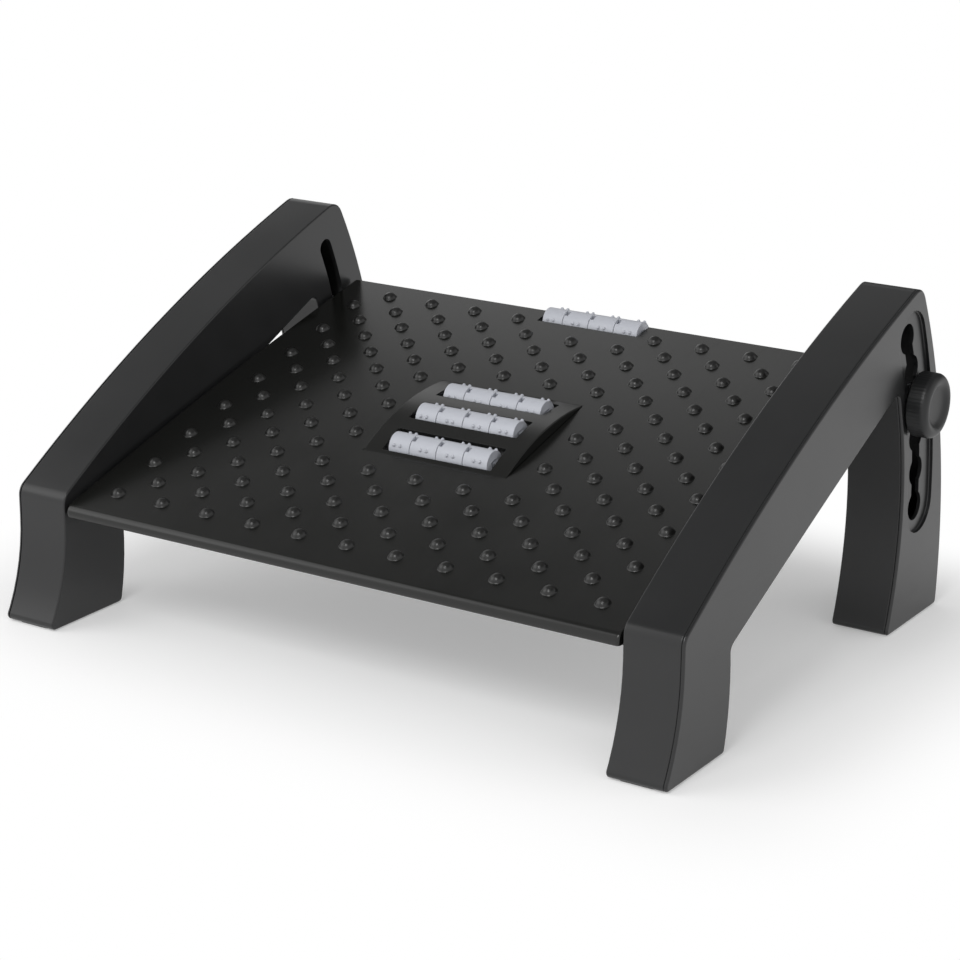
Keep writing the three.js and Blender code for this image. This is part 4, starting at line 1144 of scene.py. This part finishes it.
def floor():
    data = bpy.data.meshes.new("floor")
    corners = [(a * FLOOR_REACH, b * FLOOR_REACH, 0) for a, b in ((-1, -1), (1, -1), (1, 1), (-1, 1))]
    data.from_pydata(corners, [], [(0, 1, 2, 3)])
    obj = bpy.data.objects.new("floor", data)
    bpy.context.scene.collection.objects.link(obj)
    n = Nodes("floor_white")
    n.put(rgb(FLOOR_WHITE, FLOOR_WHITE, FLOOR_WHITE), n.shader.inputs["Base Color"])
    n.put(0.9, n.shader.inputs["Roughness"])
    n.put(0.0, n.shader.inputs["Specular IOR Level"])
    n.put(rgb(1, 1, 1), n.shader.inputs["Emission Color"])
    seen = seen_directly(n.tree)
    glow = n.add("ShaderNodeMapRange", Value=seen)
    glow.inputs["To Max"].default_value = FLOOR_GLOW
    n.put(glow.outputs[0], n.shader.inputs["Emission Strength"])
    beyond = n.coordinates
    for operation, value in (("ABSOLUTE", None), ("SUBTRACT", FOOTPRINT), ("MAXIMUM", (0, 0, 0))):
        step = n.add("ShaderNodeVectorMath", operation=operation)
        n.put(beyond, step.inputs[0])
        if value:
            n.put(value, step.inputs[1])
        beyond = step.outputs[0]
    away = n.add("ShaderNodeVectorMath", operation="LENGTH")
    n.put(beyond, away.inputs[0])
    far = n.add("ShaderNodeMapRange", Value=away.outputs["Value"], interpolation_type="SMOOTHSTEP")
    far.inputs["From Max"].default_value = SHADOW_REACH
    factor = n.add("ShaderNodeMath", operation="MULTIPLY")
    n.put(far.outputs[0], factor.inputs[0])
    n.put(seen, factor.inputs[1])
    white = n.add("ShaderNodeEmission", Color=rgb(1, 1, 1), Strength=1.0)
    blend = n.add("ShaderNodeMixShader")
    blended = (factor.outputs[0], n.shader.outputs[0], white.outputs[0])
    for socket, value in zip(blend.inputs, blended):
        n.put(value, socket)
    n.put(blend.outputs[0], n.tree.nodes["Material Output"].inputs["Surface"])
    data.materials.append(n.material)


def world():
    """A white horizon under a dimmer ceiling, with dark parts that only reflections show."""
    made = bpy.data.worlds.new("world")
    bpy.context.scene.world = made
    made.use_nodes = True
    tree = made.node_tree
    background = tree.nodes["Background"]
    level = tree.nodes.new("ShaderNodeMapRange")
    level.inputs["To Min"].default_value = SKY_LIGHT
    tree.links.new(seen_directly(tree), level.inputs["Value"])
    tree.links.new(level.outputs[0], background.inputs["Strength"])
    direction = tree.nodes.new("ShaderNodeTexCoord").outputs["Generated"]
    parts = tree.nodes.new("ShaderNodeSeparateXYZ")
    tree.links.new(direction, parts.inputs[0])
    shade = tree.nodes.new("ShaderNodeValToRGB")
    ramp = shade.color_ramp.elements
    while len(ramp) < len(SKY_STEPS):
        ramp.new(0.5)
    for element, (height, bright) in zip(ramp, SKY_STEPS):
        element.position = height
        element.color = rgb(bright, bright, bright)
    tree.links.new(parts.outputs["Z"], shade.inputs["Fac"])
    color = shade.outputs["Color"]
    for part in DARK_PARTS:
        color = dimmed(tree, color, direction, *part)
    tree.links.new(color, background.inputs["Color"])


def dimmed(tree, color, direction, toward, start, full, least):
    """The colour made darker near one direction, except for rays from the camera."""
    near = tree.nodes.new("ShaderNodeVectorMath")
    near.operation = "DOT_PRODUCT"
    near.inputs[1].default_value = toward
    tree.links.new(direction, near.inputs[0])
    level = tree.nodes.new("ShaderNodeMapRange")
    level.interpolation_type = "SMOOTHSTEP"
    limits = {"From Min": start, "From Max": full, "To Min": 1, "To Max": least}
    for name, value in limits.items():
        level.inputs[name].default_value = value
    tree.links.new(near.outputs["Value"], level.inputs["Value"])
    shown = tree.nodes.new("ShaderNodeMath")
    shown.operation = "MAXIMUM"
    camera_ray = tree.nodes.new("ShaderNodeLightPath").outputs["Is Camera Ray"]
    tree.links.new(camera_ray, shown.inputs[0])
    tree.links.new(level.outputs[0], shown.inputs[1])
    scaled = tree.nodes.new("ShaderNodeVectorMath")
    scaled.operation = "SCALE"
    tree.links.new(color, scaled.inputs[0])
    tree.links.new(shown.outputs[0], scaled.inputs["Scale"])
    return scaled.outputs[0]


# Each lamp: its place, its width and height, and its power
LAMPS = {
    "key": ((0.25, -1.75, 1.90), (0.9, 0.9), 18.5),
    "left": ((-1.44, -1.05, 1.29), (1.4, 1.6), 8.2),
}


def lamp(name, at, size, power):
    """A soft rectangular lamp that faces the object."""
    data = bpy.data.lights.new(name, "AREA")
    data.shape = "RECTANGLE"
    data.size, data.size_y = size
    data.energy = power
    obj = bpy.data.objects.new(name, data)
    bpy.context.scene.collection.objects.link(obj)
    obj.location = at
    obj.rotation_euler = (-Vector(at)).to_track_quat("-Z", "Y").to_euler()


add_camera()
floor()
world()
for name, values in LAMPS.items():
    lamp(name, *values)

bpy.context.scene.view_settings.view_transform = "Standard"
